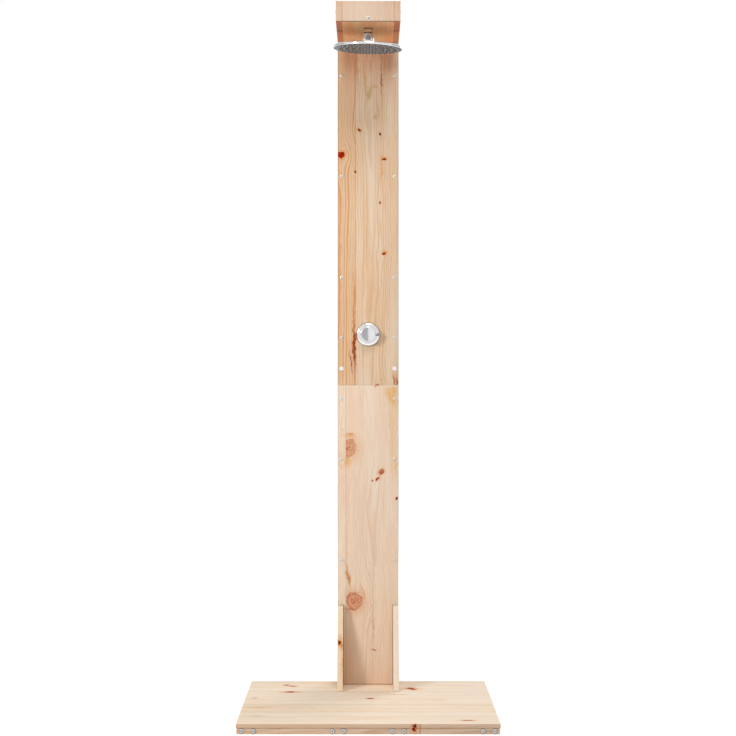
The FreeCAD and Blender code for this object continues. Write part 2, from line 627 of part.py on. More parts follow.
def make_valve():
    """Quarter-turn plug valve behind the panel, with its plate and lever knob in front."""
    axis_back = V(0, PIPE_Y + VALVE_BODY_BACK, VALVE_Z)
    sleeve_front = PLATE_FRONT + SLEEVE_SETBACK
    body = rod(VALVE_BODY_R, axis_back, -Y_AXIS, axis_back.y - RAIL_FRONT)
    body = body.fuse(rod(VALVE_SLEEVE_R, axis_back, -Y_AXIS, axis_back.y - sleeve_front))
    port = V(0, PIPE_Y, VALVE_Z - VALVE_PORT_REACH)
    body = body.fuse(rod(FITTING_R, port, Z_AXIS, 2 * VALVE_PORT_REACH))
    chamber_back = PIPE_Y + PLUG_R
    chamber_end = V(0, chamber_back, VALVE_Z)
    body = body.cut(rod(PLUG_R + PLUG_GAP, chamber_end, -Y_AXIS, chamber_back - sleeve_front))
    waterway = PIPE_R - PIPE_WALL
    body = body.cut(rod(waterway, port, Z_AXIS, 2 * VALVE_PORT_REACH))
    for end, axis in ((port, Z_AXIS), (V(0, PIPE_Y, VALVE_Z + VALVE_PORT_REACH), -Z_AXIS)):
        body = body.cut(rod(PIPE_R + FIT_GAP, end, axis, PIPE_INSERT))
    nodes["valve_body"] = body.removeSplitter()

    plug_front = chamber_back - PLUG_GAP - PLUG_LENGTH
    plug = rod(PLUG_R, V(0, chamber_back - PLUG_GAP, VALVE_Z), -Y_AXIS, PLUG_LENGTH)
    plug = plug.cut(rod(waterway, V(-PLUG_R, PIPE_Y, VALVE_Z), X_AXIS, 2 * PLUG_R))
    socket_end = KNOB_BACK - KNOB_SOCKET_DEPTH
    stem_root = V(0, plug_front + STEM_ROOT, VALVE_Z)
    stem = rod(STEM_R, stem_root, -Y_AXIS, stem_root.y - socket_end)
    nodes["valve_plug"] = plug.fuse(stem).removeSplitter()

    gland_back = V(0, plug_front - PLUG_GAP, VALVE_Z)
    gland = rod(PLUG_R, gland_back, -Y_AXIS, GLAND_LENGTH)
    nodes["valve_gland"] = gland.cut(rod(STEM_R + PLUG_GAP, gland_back, -Y_AXIS, GLAND_LENGTH))

    bore = VALVE_SLEEVE_R + FIT_GAP
    washer_back = V(0, PANEL_FRONT, VALVE_Z)
    washer = rod(VALVE_WASHER_R, washer_back, -Y_AXIS, VALVE_WASHER_THICK)
    nodes["valve_washer"] = washer.cut(rod(bore, washer_back, -Y_AXIS, VALVE_WASHER_THICK))
    nut_back = V(0, PANEL_FRONT - VALVE_WASHER_THICK, VALVE_Z)
    nut = hexagon_bar(VALVE_NUT_AF, nut_back, -Y_AXIS, VALVE_NUT_THICK)
    nodes["valve_nut"] = nut.cut(rod(bore, nut_back, -Y_AXIS, VALVE_NUT_THICK))

    inside = PLATE_DEPTH - PLATE_WALL
    plate = revolve_up([
        (PLATE_R, 0.0), (PLATE_R, PLATE_RIM),
        (PLATE_SHOULDER_R, PLATE_SHOULDER_HEIGHT, PLATE_FLAT_R, PLATE_DEPTH - PLATE_DROP),
        (bore, PLATE_DEPTH), (bore, inside), (PLATE_FLAT_R, inside - PLATE_DROP),
        (PLATE_R - PLATE_WALL, PLATE_RIM), (PLATE_R - PLATE_WALL, 0.0),
    ])
    nodes["valve_plate"] = facing_viewer(plate, VALVE_Z)

    base = PLATE_DEPTH + KNOB_GAP
    top = base + KNOB_LENGTH
    turned = KNOB_EDGE * (1 - math.sqrt(0.5))
    socket_r = STEM_R + FIT_GAP
    knob = revolve_up([
        (0.0, base + KNOB_SOCKET_DEPTH), (socket_r, base + KNOB_SOCKET_DEPTH), (socket_r, base),
        (KNOB_HUB_R, base), (KNOB_HUB_R, base + KNOB_HOLLOW_DEPTH),
        (KNOB_R - KNOB_WALL, base + KNOB_HOLLOW_DEPTH), (KNOB_R - KNOB_WALL, base),
        (KNOB_R - KNOB_FOOT_EDGE, base), (KNOB_R, base + KNOB_FOOT_EDGE), (KNOB_R, top - KNOB_EDGE),
        (KNOB_R - turned, top - turned, KNOB_R - KNOB_EDGE, top), (0.0, top),
    ])
    knob = facing_viewer(knob, VALVE_Z)
    lever_front = KNOB_FRONT + LEVER_FRONT
    straight = LEVER_REACH - LEVER_HEIGHT / 2
    lever = box(
        KNOB_R - KNOB_WALL / 2, straight, lever_front, lever_front + LEVER_THICK,
        VALVE_Z - LEVER_HEIGHT / 2, VALVE_Z + LEVER_HEIGHT / 2,
    )
    lever = lever.fuse(rod(LEVER_HEIGHT / 2, V(straight, lever_front, VALVE_Z), Y_AXIS, LEVER_THICK))
    nodes["valve_knob"] = knob.fuse(lever).removeSplitter()


# ---------------------------------------------------------------- drop arm, ball joint and rain head


def liner(top_degrees, bottom_degrees):
    """Spherical band between the ball and its housing, between two angles from straight up."""
    middle = (top_degrees + bottom_degrees) / 2
    return revolve_up([
        on_sphere(LINER_INNER_R, top_degrees),
        on_sphere(LINER_OUTER_R, top_degrees),
        on_sphere(LINER_OUTER_R, middle) + on_sphere(LINER_OUTER_R, bottom_degrees),
        on_sphere(LINER_INNER_R, bottom_degrees),
        on_sphere(LINER_INNER_R, middle) + on_sphere(LINER_INNER_R, top_degrees),
    ], BALL_CENTRE)


def make_arm():
    """Square drop arm hung in the soffit by its flange, the ball that it carries, and the ball's liner."""
    half = ARM_SIDE / 2
    arm = box(-half, half, ARM_Y - half, ARM_Y + half, ARM_BOTTOM, ARM_TOP)
    wide = ARM_FLANGE_SIDE / 2
    arm = arm.fuse(box(-wide, wide, ARM_Y - wide, ARM_Y + wide, SOFFIT_TOP, ARM_TOP))
    arm = arm.cut(Part.makeSphere(DOME_R + ARM_DOME_GAP, BALL_CENTRE))
    shank_bottom = BALL_Z + DOME_R
    shank_top = shank_bottom + ARM_SHANK_LENGTH
    foot = V(0, ARM_Y, ARM_BOTTOM)
    arm = arm.cut(rod(SHANK_R + FIT_GAP, foot, Z_AXIS, shank_top - ARM_BOTTOM))
    arm = arm.cut(rod(SHANK_R - SPIGOT_STEP + FIT_GAP, foot, Z_AXIS, ARM_TOP - ARM_BOTTOM))
    nodes["drop_arm"] = arm.removeSplitter()

    stub = Part.makeSphere(BALL_R, BALL_CENTRE)
    stub = stub.fuse(rod(NECK_R, BALL_CENTRE, Z_AXIS, DOME_R + NECK_LAP))
    stub = stub.fuse(rod(SHANK_R, V(0, ARM_Y, shank_bottom), Z_AXIS, ARM_SHANK_LENGTH))
    length = BALL_R + DOME_R + ARM_SHANK_LENGTH
    stub = stub.cut(rod(WATERWAY_R, BALL_CENTRE - Z_AXIS * BALL_R, Z_AXIS, length))
    nodes["ball_stub"] = stub.removeSplitter()

    nodes["ball_ring"] = liner(RING_TOP_DEG, RING_BOTTOM_DEG)
    cup = liner(CUP_TOP_DEG, CUP_BOTTOM_DEG)
    cup.rotate(BALL_CENTRE, X_AXIS, HEAD_TILT)
    nodes["ball_cup"] = cup


def make_dome():
    """Domed nut that holds the ball: a sphere outside and inside, open above for the neck to tilt."""
    skirt_top = -math.sqrt(DOME_R ** 2 - DOME_SKIRT_R ** 2)
    seat_at_split = math.sqrt(SEAT_R ** 2 - DOME_SPLIT ** 2)
    split_degrees = 90 + math.degrees(math.asin(DOME_SPLIT / SEAT_R))
    skirt_degrees = 90 - math.degrees(math.asin(skirt_top / DOME_R))
    return revolve_up([
        on_sphere(DOME_R, DOME_MOUTH_DEG),
        on_sphere(DOME_R, (DOME_MOUTH_DEG + skirt_degrees) / 2) + (DOME_SKIRT_R, skirt_top),
        (DOME_SKIRT_R, -DOME_BOTTOM),
        (BOSS_R + FIT_GAP, -DOME_BOTTOM),
        (BOSS_R + FIT_GAP, -DOME_SPLIT),
        (seat_at_split, -DOME_SPLIT),
        on_sphere(SEAT_R, (DOME_MOUTH_DEG + split_degrees) / 2) + on_sphere(SEAT_R, DOME_MOUTH_DEG),
    ], BALL_CENTRE)


def make_shell():
    """Thin round shell, crowned to a boss that screws into the domed nut and seats the ball from below."""
    rim_top = HEAD_RIM - HEAD_FACE
    turned = HEAD_RIM_ROUND * (1 - math.sqrt(0.5))
    boss_top = -DOME_SPLIT - FIT_GAP
    seat_at_top = math.sqrt(SEAT_R ** 2 - boss_top ** 2)
    seat_bottom = -math.sqrt(SEAT_R ** 2 - INLET_FUNNEL_R ** 2)
    top_degrees = 90 + math.degrees(math.asin(-boss_top / SEAT_R))
    bottom_degrees = 180 - math.degrees(math.asin(INLET_FUNNEL_R / SEAT_R))
    cavity_top = -HEAD_CROWN - HEAD_WALL
    plate_top = FACE_PLATE_THICK - HEAD_FACE
    mat_top = plate_top + MAT_THICK
    plate_r = FACE_PLATE_R + HOLE_GAP
    mat_r = MAT_R + HOLE_GAP
    return revolve_up([
        (BOSS_R, boss_top), (BOSS_R, -HEAD_CROWN), (HEAD_CROWN_R, -HEAD_CROWN),
        (HEAD_MIDWAY_R, rim_top + HEAD_MIDWAY_RISE), (HEAD_R - HEAD_RIM_ROUND, rim_top),
        (HEAD_R - turned, rim_top - turned, HEAD_R, rim_top - HEAD_RIM_ROUND),
        (HEAD_R, -HEAD_FACE), (plate_r, -HEAD_FACE), (plate_r, plate_top),
        (mat_r, plate_top), (mat_r, mat_top + MAT_ROOM),
        (HEAD_INNER_R, cavity_top - HEAD_INNER_DROP), (INLET_FUNNEL_R, cavity_top),
        (INLET_FUNNEL_R, seat_bottom),
        on_sphere(SEAT_R, (top_degrees + bottom_degrees) / 2) + (seat_at_top, boss_top),
    ], BALL_CENTRE)


def nozzle_places():
    """Centre nozzle and rings of 6, 12, 18 ... round it, at an even pitch."""
    places = [(0.0, 0.0)]
    for ring in range(1, NOZZLE_RINGS + 1):
        for i in range(6 * ring):
            angle = 2 * math.pi * i / (6 * ring)
            places.append((ring * NOZZLE_PITCH * math.cos(angle), ring * NOZZLE_PITCH * math.sin(angle)))
    return places


def make_spray_face():
    """Holed face plate and, behind it, the soft mat whose nozzles stand through the holes."""
    plate_bottom = BALL_CENTRE - Z_AXIS * HEAD_FACE
    plate_top = plate_bottom + Z_AXIS * FACE_PLATE_THICK
    plate = Part.makeCylinder(FACE_PLATE_R, FACE_PLATE_THICK, plate_bottom)
    holes = []
    nozzles = []
    root = Z_AXIS * MAT_THICK / 2
    length = MAT_THICK / 2 + FACE_PLATE_THICK + NOZZLE_PROUD
    for x, y in nozzle_places():
        place = plate_top + V(x, y, 0)
        hole_r = NOZZLE_BASE_R + NOZZLE_GAP
        holes.append(polygon_bar(NOZZLE_SIDES, hole_r, hole_r, place, -Z_AXIS, FACE_PLATE_THICK))
        start = place + root
        nozzles.append(polygon_bar(NOZZLE_SIDES, NOZZLE_BASE_R, NOZZLE_TIP_R, start, -Z_AXIS, length))
    plate = plate.cut(Part.makeCompound(holes))
    mat = Part.makeCylinder(MAT_R, MAT_THICK, plate_top)
    return plate, mat.multiFuse(nozzles).removeSplitter()


def make_rain_head():
    """Everything that tilts with the head, turned about the ball from level to the way it hangs."""
    plate, mat = make_spray_face()
    pieces = {"dome_nut": make_dome(), "head_shell": make_shell(), "face_plate": plate, "nozzle_mat": mat}
    for name, shape in pieces.items():
        shape.rotate(BALL_CENTRE, Y_AXIS, HEAD_ROLL)
        shape.rotate(BALL_CENTRE, X_AXIS, HEAD_TILT)
        nodes[name] = shape


# ---------------------------------------------------------------- build and write

make_tray()
make_column()
make_fins()
make_head_box()
make_pipes()
make_valve()
make_arm()
make_rain_head()

for name, screws in fastenings.items():
    nodes[name] = Part.makeCompound(screws)

os.makedirs("parts", exist_ok=True)
for name, shape in nodes.items():
    shape.exportStep(f"parts/{name}.step")
    whole = shape.isValid() and all(solid.isClosed() for solid in shape.Solids)
    state = "ok" if whole else "BAD"
    print(f"{name:24s} {len(shape.Solids):3d} solids {shape.Volume / 1000:10.2f} cm3 {state}")
print(len(nodes), "nodes")
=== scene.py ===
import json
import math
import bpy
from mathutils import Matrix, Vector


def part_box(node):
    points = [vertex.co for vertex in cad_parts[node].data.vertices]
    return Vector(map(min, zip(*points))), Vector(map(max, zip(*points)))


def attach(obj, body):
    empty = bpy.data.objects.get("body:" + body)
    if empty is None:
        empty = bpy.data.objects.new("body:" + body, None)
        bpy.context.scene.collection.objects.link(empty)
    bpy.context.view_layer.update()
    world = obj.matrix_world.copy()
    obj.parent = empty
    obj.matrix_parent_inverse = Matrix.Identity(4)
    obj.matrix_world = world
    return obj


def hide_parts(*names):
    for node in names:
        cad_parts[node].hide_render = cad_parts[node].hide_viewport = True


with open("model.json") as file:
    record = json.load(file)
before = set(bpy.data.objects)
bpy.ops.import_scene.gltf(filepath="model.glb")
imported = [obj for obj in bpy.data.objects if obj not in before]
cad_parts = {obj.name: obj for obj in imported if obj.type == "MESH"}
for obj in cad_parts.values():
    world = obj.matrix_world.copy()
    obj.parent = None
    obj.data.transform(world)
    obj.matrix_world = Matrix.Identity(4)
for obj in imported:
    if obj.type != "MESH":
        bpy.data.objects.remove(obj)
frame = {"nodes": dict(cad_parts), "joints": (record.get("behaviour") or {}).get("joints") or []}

# %% [markdown]
# Outdoor shower post
#
# The post is a timber column on a low tray. A head box reaches forward at the top, and a round rain
# head hangs under it from a ball joint. A lever valve sits in the column at chest height. The packed
# model gives the true size and place of each part, and this script gives the post its looks.
# Everything is in metres, with Z up, and the viewer looks along +Y. Outlines of turned pieces are in
# millimetres, because that is how a turner would write them down.

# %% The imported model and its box
from types import SimpleNamespace

import bmesh
import bpy
from mathutils import Matrix, Vector

scene = bpy.context.scene
nodes = frame["nodes"]
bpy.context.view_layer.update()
joint_places = {joint["name"]: Vector(joint["pos_m"]) for joint in frame["joints"]}
VALVE = joint_places["valve_turn"]
BALL = joint_places["head_tilt"]
PANEL_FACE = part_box("upper_front_panel")[0].y
COLUMN_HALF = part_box("upper_front_panel")[1].x
print("Valve at", VALVE, "ball at", BALL, "panel's face at Y", round(PANEL_FACE, 4))

# %% [markdown]
# The camera
#
# The picture was taken from straight ahead at chest height with a long lens, about five and a half
# metres away, so the post looks upright and only the tray shows its top. A camera at the same place
# gives the same lines. The lens is the one at which the post fills the frame from top to bottom.

# %% Camera
EYE = (-0.0005, -5.445, 1.0923)
LENS_MM = 83.6
SENSOR_MM = 36.0
camera_data = bpy.data.cameras.new("front_camera")
camera_data.sensor_width = SENSOR_MM
camera_data.lens = LENS_MM
camera = bpy.data.objects.new("front_camera", camera_data)
camera.location = EYE
camera.rotation_euler = (math.radians(90), 0, 0)
scene.collection.objects.link(camera)
scene.camera = camera
print("Camera at", tuple(round(v, 3) for v in camera.location), "lens", camera_data.lens)

# %% [markdown]
# Light
#
# A product picture of pale wood needs broad, soft light, or the grain drowns in glare. The key lamp
# is the smallest. It stands at the left in front and draws the shadows beside the fins. A large one
# high in front lights the deck and the panels evenly, and one behind keeps the open back of the
# column from going black.

# %% Lamps
def soft_lamp(name, place, target, size, watts):
    """A square lamp that looks at a point."""
    data = bpy.data.lights.new(name, "AREA")
    data.size = size
    data.energy = watts
    lamp = bpy.data.objects.new(name, data)
    lamp.location = place
    lamp.rotation_euler = (Vector(target) - Vector(place)).to_track_quat("-Z", "Y").to_euler()
    scene.collection.objects.link(lamp)
    return lamp


soft_lamp("key_lamp", (-2.6, -2.8, 2.3), (0.0, 0.2, 0.8), 0.8, 82)
soft_lamp("high_lamp", (0.4, -3.6, 5.4), (0.0, 0.2, 0.6), 2.2, 116)
soft_lamp("back_lamp", (1.8, 3.4, 2.8), (0.0, 0.2, 1.0), 2.2, 70)

# %% [markdown]
# Small helpers for materials
#
# A procedural material is a chain of small sums, and each sum is a node. A few helpers keep the
# chains readable: they add the node, feed it numbers or other sockets, and return what comes out.

# %% Helpers for sums
def feed(tree, socket, value):
    """Sets a socket to a number or a colour, or links it to another socket."""
    if isinstance(value, bpy.types.NodeSocket):
        tree.links.new(value, socket)
    else:
        socket.default_value = value


def do_sum(tree, operation, a, b=0.0, c=0.0, clamp=False):
    """One Math node; a, b and c are numbers or sockets."""
    node = tree.nodes.new("ShaderNodeMath")
    node.operation = operation
    node.use_clamp = clamp
    for socket, value in zip(node.inputs, (a, b, c)):
        feed(tree, socket, value)
    return node.outputs[0]


def plus(tree, a, b, clamp=False):
    return do_sum(tree, "ADD", a, b, clamp=clamp)


def minus(tree, a, b):
    return do_sum(tree, "SUBTRACT", a, b)


def times(tree, a, b, clamp=False):
    return do_sum(tree, "MULTIPLY", a, b, clamp=clamp)


def times_plus(tree, a, b, c):
    """The product of a and b, plus c."""
    return do_sum(tree, "MULTIPLY_ADD", a, b, c)


def distance_to(tree, a, b):
    """How far two numbers lie apart, without its sign."""
    return do_sum(tree, "ABSOLUTE", minus(tree, a, b))


print("Helpers for sums are ready")

# %% [markdown]
# The next helpers go from numbers to patterns: a ramp between two values, a blend of two colours, a
# place put together from three numbers or taken apart again, and a noise pattern.

# %% Helpers for ramps, colours and patterns
def rise(tree, value, low, high, start=0.0, end=1.0, course="SMOOTHSTEP"):
    """Goes from start to end as the value goes from low to high."""
    node = tree.nodes.new("ShaderNodeMapRange")
    node.interpolation_type = course
    for label, number in (("From Min", low), ("From Max", high), ("To Min", start), ("To Max", end)):
        node.inputs[label].default_value = number
    tree.links.new(value, node.inputs["Value"])
    return node.outputs[0]


def blend_colour(tree, share, a, b, mode="MIX"):
    """Mixes two colours, each a socket or four numbers, by a share."""
    node = tree.nodes.new("ShaderNodeMix")
    node.data_type = "RGBA"
    node.blend_type = mode
    for number, value in ((0, share), (6, a), (7, b)):
        feed(tree, node.inputs[number], value)
    return node.outputs[2]


def join_place(tree, x, y, z):
    """Puts three sockets or numbers together as a place."""
    node = tree.nodes.new("ShaderNodeCombineXYZ")
    for socket, value in zip(node.inputs, (x, y, z)):
        feed(tree, socket, value)
    return node.outputs[0]


def split_place(tree, place):
    """The three numbers of a place or a direction."""
    node = tree.nodes.new("ShaderNodeSeparateXYZ")
    tree.links.new(place, node.inputs[0])
    return node.outputs


def noise(tree, place, detail, rough, scale=1.0):
    """A noise pattern at a place; returns its value, from 0 to 1."""
    node = tree.nodes.new("ShaderNodeTexNoise")
    node.inputs["Scale"].default_value = scale
    node.inputs["Detail"].default_value = detail
    node.inputs["Roughness"].default_value = rough
    tree.links.new(place, node.inputs["Vector"])
    return node.outputs["Fac"]


print("Ramps, blends, places and noise are ready")

# %% [markdown]
# The last few helpers do what every material needs: relief, ready-made groups, an empty material to
# start from, and a way to put it on a piece.

# %% Helpers for materials
def bumps(tree, shader, height, strength, distance):
    """Lets a height pattern tilt the surface's shading."""
    bump = tree.nodes.new("ShaderNodeBump")
    bump.inputs["Strength"].default_value = strength
    bump.inputs["Distance"].default_value = distance
    tree.links.new(height, bump.inputs["Height"])
    tree.links.new(bump.outputs[0], shader.inputs["Normal"])


def use_group(tree, group, values):
    """Adds a node group and feeds its inputs by their labels."""
    node = tree.nodes.new("ShaderNodeGroup")
    node.node_tree = group
    for label, value in values.items():
        feed(tree, node.inputs[label], value)
    return node.outputs


def new_material(name):
    """An empty material; returns it with its tree and its shader."""
    material = bpy.data.materials.new(name)
    material.use_nodes = True
    tree = material.node_tree
    return material, tree, tree.nodes["Principled BSDF"]


def wear(piece, material):
    """Gives a piece one material in place of what it had."""
    piece.data.materials.clear()
    piece.data.materials.append(material)


print("Materials can be started")

# %% [markdown]
# World and floor
#
# The studio is white all round. To the camera and in the chrome it is plain white, but as light on
# the post it is dimmed, or it would wash out every shadow. The floor does the same and still takes
# the post's shadow. Near the tray its own glow is weak, so that the shadow shows, and it grows with
# the distance, so that floor and sky meet in the same white.

# %% World and floor
WORLD_LIGHT = 0.29
GLOW_FROM, GLOW_TO = 0.8, 3.0
GLOW_NEAR, GLOW_FAR = 0.45, 0.72


def paper_white(tree, dim):
    """Emission that is white to the camera and in gloss, and dimmed as light on the post."""
    path = tree.nodes.new("ShaderNodeLightPath").outputs
    mirrored = plus(tree, path["Is Glossy Ray"], path["Is Transmission Ray"])
    seen = plus(tree, path["Is Camera Ray"], mirrored, clamp=True)
    return rise(tree, seen, 0.0, 1.0, dim, 1.0, "LINEAR")


world = bpy.data.worlds.new("studio_world")
world.use_nodes = True
scene.world = world
background = world.node_tree.nodes["Background"]
background.inputs["Color"].default_value = (1, 1, 1, 1)
feed(world.node_tree, background.inputs["Strength"], paper_white(world.node_tree, WORLD_LIGHT))
scene.view_settings.view_transform = "Standard"

bpy.ops.object.select_all(action="DESELECT")
bpy.ops.mesh.primitive_plane_add(size=60.0, location=(0, 0, -0.0006))
floor = bpy.context.object
floor.name = "studio_floor"
floor_paper, tree, shader = new_material("floor_paper")
shader.inputs["Base Color"].default_value = (0.80, 0.80, 0.80, 1)
shader.inputs["Roughness"].default_value = 0.9
shader.inputs["Emission Color"].default_value = (1, 1, 1, 1)
ground = tree.nodes.new("ShaderNodeVectorMath")
ground.operation = "LENGTH"
tree.links.new(tree.nodes.new("ShaderNodeTexCoord").outputs["Object"], ground.inputs[0])
glow = rise(tree, ground.outputs["Value"], GLOW_FROM, GLOW_TO, GLOW_NEAR, GLOW_FAR, "LINEAR")
feed(tree, shader.inputs["Emission Strength"], times(tree, paper_white(tree, 0.0), glow))
wear(floor, floor_paper)
print("Floor and world are in place")

# %% [markdown]
# Cards for the chrome
#
# Chrome shows only what stands round it, and in an all-white room it would vanish. Photographers
# stand cards beside it. Two tall grey ones give the round pieces their darker edges. Two small ones
# close in front lie in the knob's flat face, a grey one in its left half and a bright one in its
# right half, and a nearly black one darkens the middle of the domed nut. Only gloss sees them.

# %% Cards
def card(name, place, target, width, height, glow):
    """A flat card that looks at a point, glows faintly and shows only in reflections."""
    bpy.ops.object.select_all(action="DESELECT")
    bpy.ops.mesh.primitive_plane_add(size=1.0, location=place)
    piece = bpy.context.object
    piece.name = name
    piece.rotation_euler = (Vector(target) - Vector(place)).to_track_quat("Z", "Y").to_euler()
    piece.scale = (width, height, 1)
    paper, _, shader = new_material(name + "_paper")
    shader.inputs["Base Color"].default_value = (0, 0, 0, 1)
    shader.inputs["Specular IOR Level"].default_value = 0.0
    shader.inputs["Emission Color"].default_value = (glow, glow, glow, 1)
    shader.inputs["Emission Strength"].default_value = 1.0
    wear(piece, paper)
    piece.visible_camera = False
    piece.visible_diffuse = False
    piece.visible_shadow = False


for name, side in (("left_card", -1), ("right_card", 1)):
    card(name, (side * 2.6, 0.9, 1.9), (0, 0.05, 1.9), 2.6, 2.6, 0.55)
nut_card_height = BALL.z + 0.010
card("nut_card", (0, BALL.y - 0.0303, nut_card_height), (0, BALL.y, nut_card_height), 0.050, 0.026, 0.03)
knob_card_height = VALVE.z + 0.006
for name, x, glow in (("knob_card", -0.0139, 0.56), ("knob_card_right", 0.0139, 1.10)):
    card(name, (x, -0.05, knob_card_height), (x, 0.246, knob_card_height), 0.0278, 0.050, glow)

# %% [markdown]
# Knots
#
# A branch that grew into the trunk leaves a knot. It is darker than the wood, has its own fine
# rings, and the grain flows round it like water round a stone. One reusable group does both: it
# pushes the grain aside, and it says how far a point is from the knot's edge in metres, and from its
# heart in knot sizes. Each board then chains as many of them as it has knots, and the nearest knot
# wins.

# %% Group: grain round a knot
KNOT_LABELS = ("Knot across", "Knot along", "Half width", "Half length", "Slant", "Knot tone", "Push")
PUSH_WIDE, PUSH_TALL = -0.10, -0.055


def start_group(name, takes, gives):
    """A new node group with number sockets; returns it with what comes in and what goes out."""
    tree = bpy.data.node_groups.new(name, "ShaderNodeTree")
    for label in takes:
        tree.interface.new_socket(label, in_out="INPUT", socket_type="NodeSocketFloat")
    for label in gives:
        tree.interface.new_socket(label, in_out="OUTPUT", socket_type="NodeSocketFloat")
    return tree, tree.nodes.new("NodeGroupInput").outputs, tree.nodes.new("NodeGroupOutput").inputs


def from_middle(tree, enter, middle_across, middle_along):
    """Where a point lies from a mark's middle, and how many half widths and half lengths that is."""
    upward = minus(tree, enter["Along"], enter[middle_along])
    side = times_plus(tree, upward, enter["Slant"], minus(tree, enter["Across"], enter[middle_across]))
    a = do_sum(tree, "DIVIDE", side, enter["Half width"])
    b = do_sum(tree, "DIVIDE", upward, enter["Half length"])
    return side, times(tree, a, a), times(tree, b, b)


def make_knot_group():
    flow = ("Flow", "Edge", "Heart", "Tone")
    tree, enter, leave = start_group(
        "grain_round_a_knot", ("Flow", "Across", "Along", "Edge", "Heart", "Tone", *KNOT_LABELS), flow)
    side, a_squared, b_squared = from_middle(tree, enter, "Knot across", "Knot along")
    far = do_sum(tree, "SQRT", plus(tree, a_squared, b_squared))
    near = do_sum(tree, "EXPONENT", plus(tree, times(tree, a_squared, PUSH_WIDE),
                                         times(tree, b_squared, PUSH_TALL)))
    shove = times(tree, times(tree, side, near), enter["Push"])
    tree.links.new(minus(tree, enter["Flow"], shove), leave["Flow"])
    edge = times(tree, minus(tree, far, 1.0), enter["Half width"])
    closer = do_sum(tree, "LESS_THAN", edge, enter["Edge"])
    tree.links.new(do_sum(tree, "MINIMUM", edge, enter["Edge"]), leave["Edge"])
    for label, mine in (("Heart", far), ("Tone", enter["Knot tone"])):
        gain = minus(tree, mine, enter[label])
        tree.links.new(times_plus(tree, gain, closer, enter[label]), leave[label])
    return tree


knot_group = make_knot_group()
print("Group", knot_group.name, "has", len(knot_group.nodes), "nodes")

# %% [markdown]
# Streaks
#
# Resin and heartwood draw long darker streaks along the grain. A streak is a soft band with pointed
# ends, a few millimetres wide. A second group adds one streak to the sum of those before it.

# %% Group: streak along the grain
STREAK_LABELS = ("Streak across", "Streak along", "Half width", "Half length", "Slant", "Strength")


def make_streak_group():
    tree, enter, leave = start_group("streak_along_the_grain", ("Across", "Along", "Sum", *STREAK_LABELS),
                                     ("Sum",))
    _, a_squared, b_squared = from_middle(tree, enter, "Streak across", "Streak along")
    band = do_sum(tree, "EXPONENT", times(tree, plus(tree, a_squared, b_squared), -1.0))
    tree.links.new(times_plus(tree, band, enter["Strength"], enter["Sum"]), leave["Sum"])
    return tree


streak_group = make_streak_group()
print("Group", streak_group.name, "has", len(streak_group.nodes), "nodes")

# %% [markdown]
# Pine: where a point lies in its board
#
# A trunk is a stack of cones, one for each year, pale where it grew in spring and darker where it
# grew in late summer. A board is a cut through them. So the material has to know where a point lies
# across, into and along its board. Where a panel is glued up from staves, each stave comes from its
# own trunk, and a number that belongs to the trunk steps from one stave to the next. Four noise
# patterns, from a slow wave to fine crumbs, make everything a little uneven.

# %% Staves and grain
FAR_AWAY = 9.0


def stave(to=FAR_AWAY, middle=0.0, depth=0.07, ring=0.0042, tint=0.0, dark=0.5, shift=0.0):
    """One stave: its far edge, its trunk's middle, its ring width, and how warm and dark it is."""
    return dict(to=to, middle=middle, depth=depth, ring=ring, tint=tint, dark=dark, shift=shift)


def stave_value(grain, key):
    """A number that steps from stave to stave across the board."""
    value = grain.staves[0][key]
    for before, after in zip(grain.staves, grain.staves[1:]):
        passed = do_sum(grain.tree, "GREATER_THAN", grain.across, before["to"])
        value = times_plus(grain.tree, passed, after[key] - before[key], value)
    return value


def drawn_out(grain, wide, long):
    """A place on which a noise pattern comes out long and thin, along the grain."""
    tree = grain.tree
    return join_place(tree, times(tree, grain.across, wide), times(tree, grain.deep, wide),
                      times_plus(tree, grain.along, long, grain.shift))


def swing(tree, place, detail, rough, scale=1.0):
    """Noise that swings to both sides of nought."""
    return minus(tree, noise(tree, place, detail, rough, scale), 0.5)


def find_grain(tree, axes, staves):
    """The sockets that say where a point lies in its board, with the patterns laid over it."""
    coordinates = tree.nodes.new("ShaderNodeTexCoord").outputs
    place = coordinates["Object"]
    sides = split_place(tree, place)
    across, deep, along = (sides[axis] for axis in axes)
    grain = SimpleNamespace(tree=tree, axes=axes, staves=staves, across=across, deep=deep, along=along,
                            facing=split_place(tree, coordinates["Normal"]))
    grain.shift = stave_value(grain, "shift")
    grain.wave = swing(tree, drawn_out(grain, 7.0, 1.5), 2.0, 0.45)
    grain.ripple = swing(tree, drawn_out(grain, 34.0, 7.0), 3.0, 0.5)
    grain.lumps = swing(tree, place, 2.0, 0.5, 62.0)
    crumb = swing(tree, place, 3.0, 0.6, 300.0)
    grain.fibre = noise(tree, drawn_out(grain, 900.0, 22.0), 3.0, 0.6)
    grain.ragged = times_plus(tree, crumb, 0.0052, times_plus(tree, grain.lumps, 0.017, across))
    grain.uneven = times_plus(tree, crumb, -0.0052, times_plus(tree, grain.ripple, 0.026, along))
    return grain


print("Grain can be found")

# %% [markdown]
# Pine: year rings
#
# The material measures how far each point is from the trunk's middle, which lies behind or beside
# the board, wobbles that distance a little, and paints one ring after another. Cut near the middle
# the rings make arches, and further out they make straight stripes, and the end of the board shows
# arcs, with nothing painted by hand. Some years were better than others, so each ring has its own
# strength.

# %% Year rings
WAVE_SWING, EDDY_SWING, RIPPLE_SWING = 0.050, 0.030, 0.0035


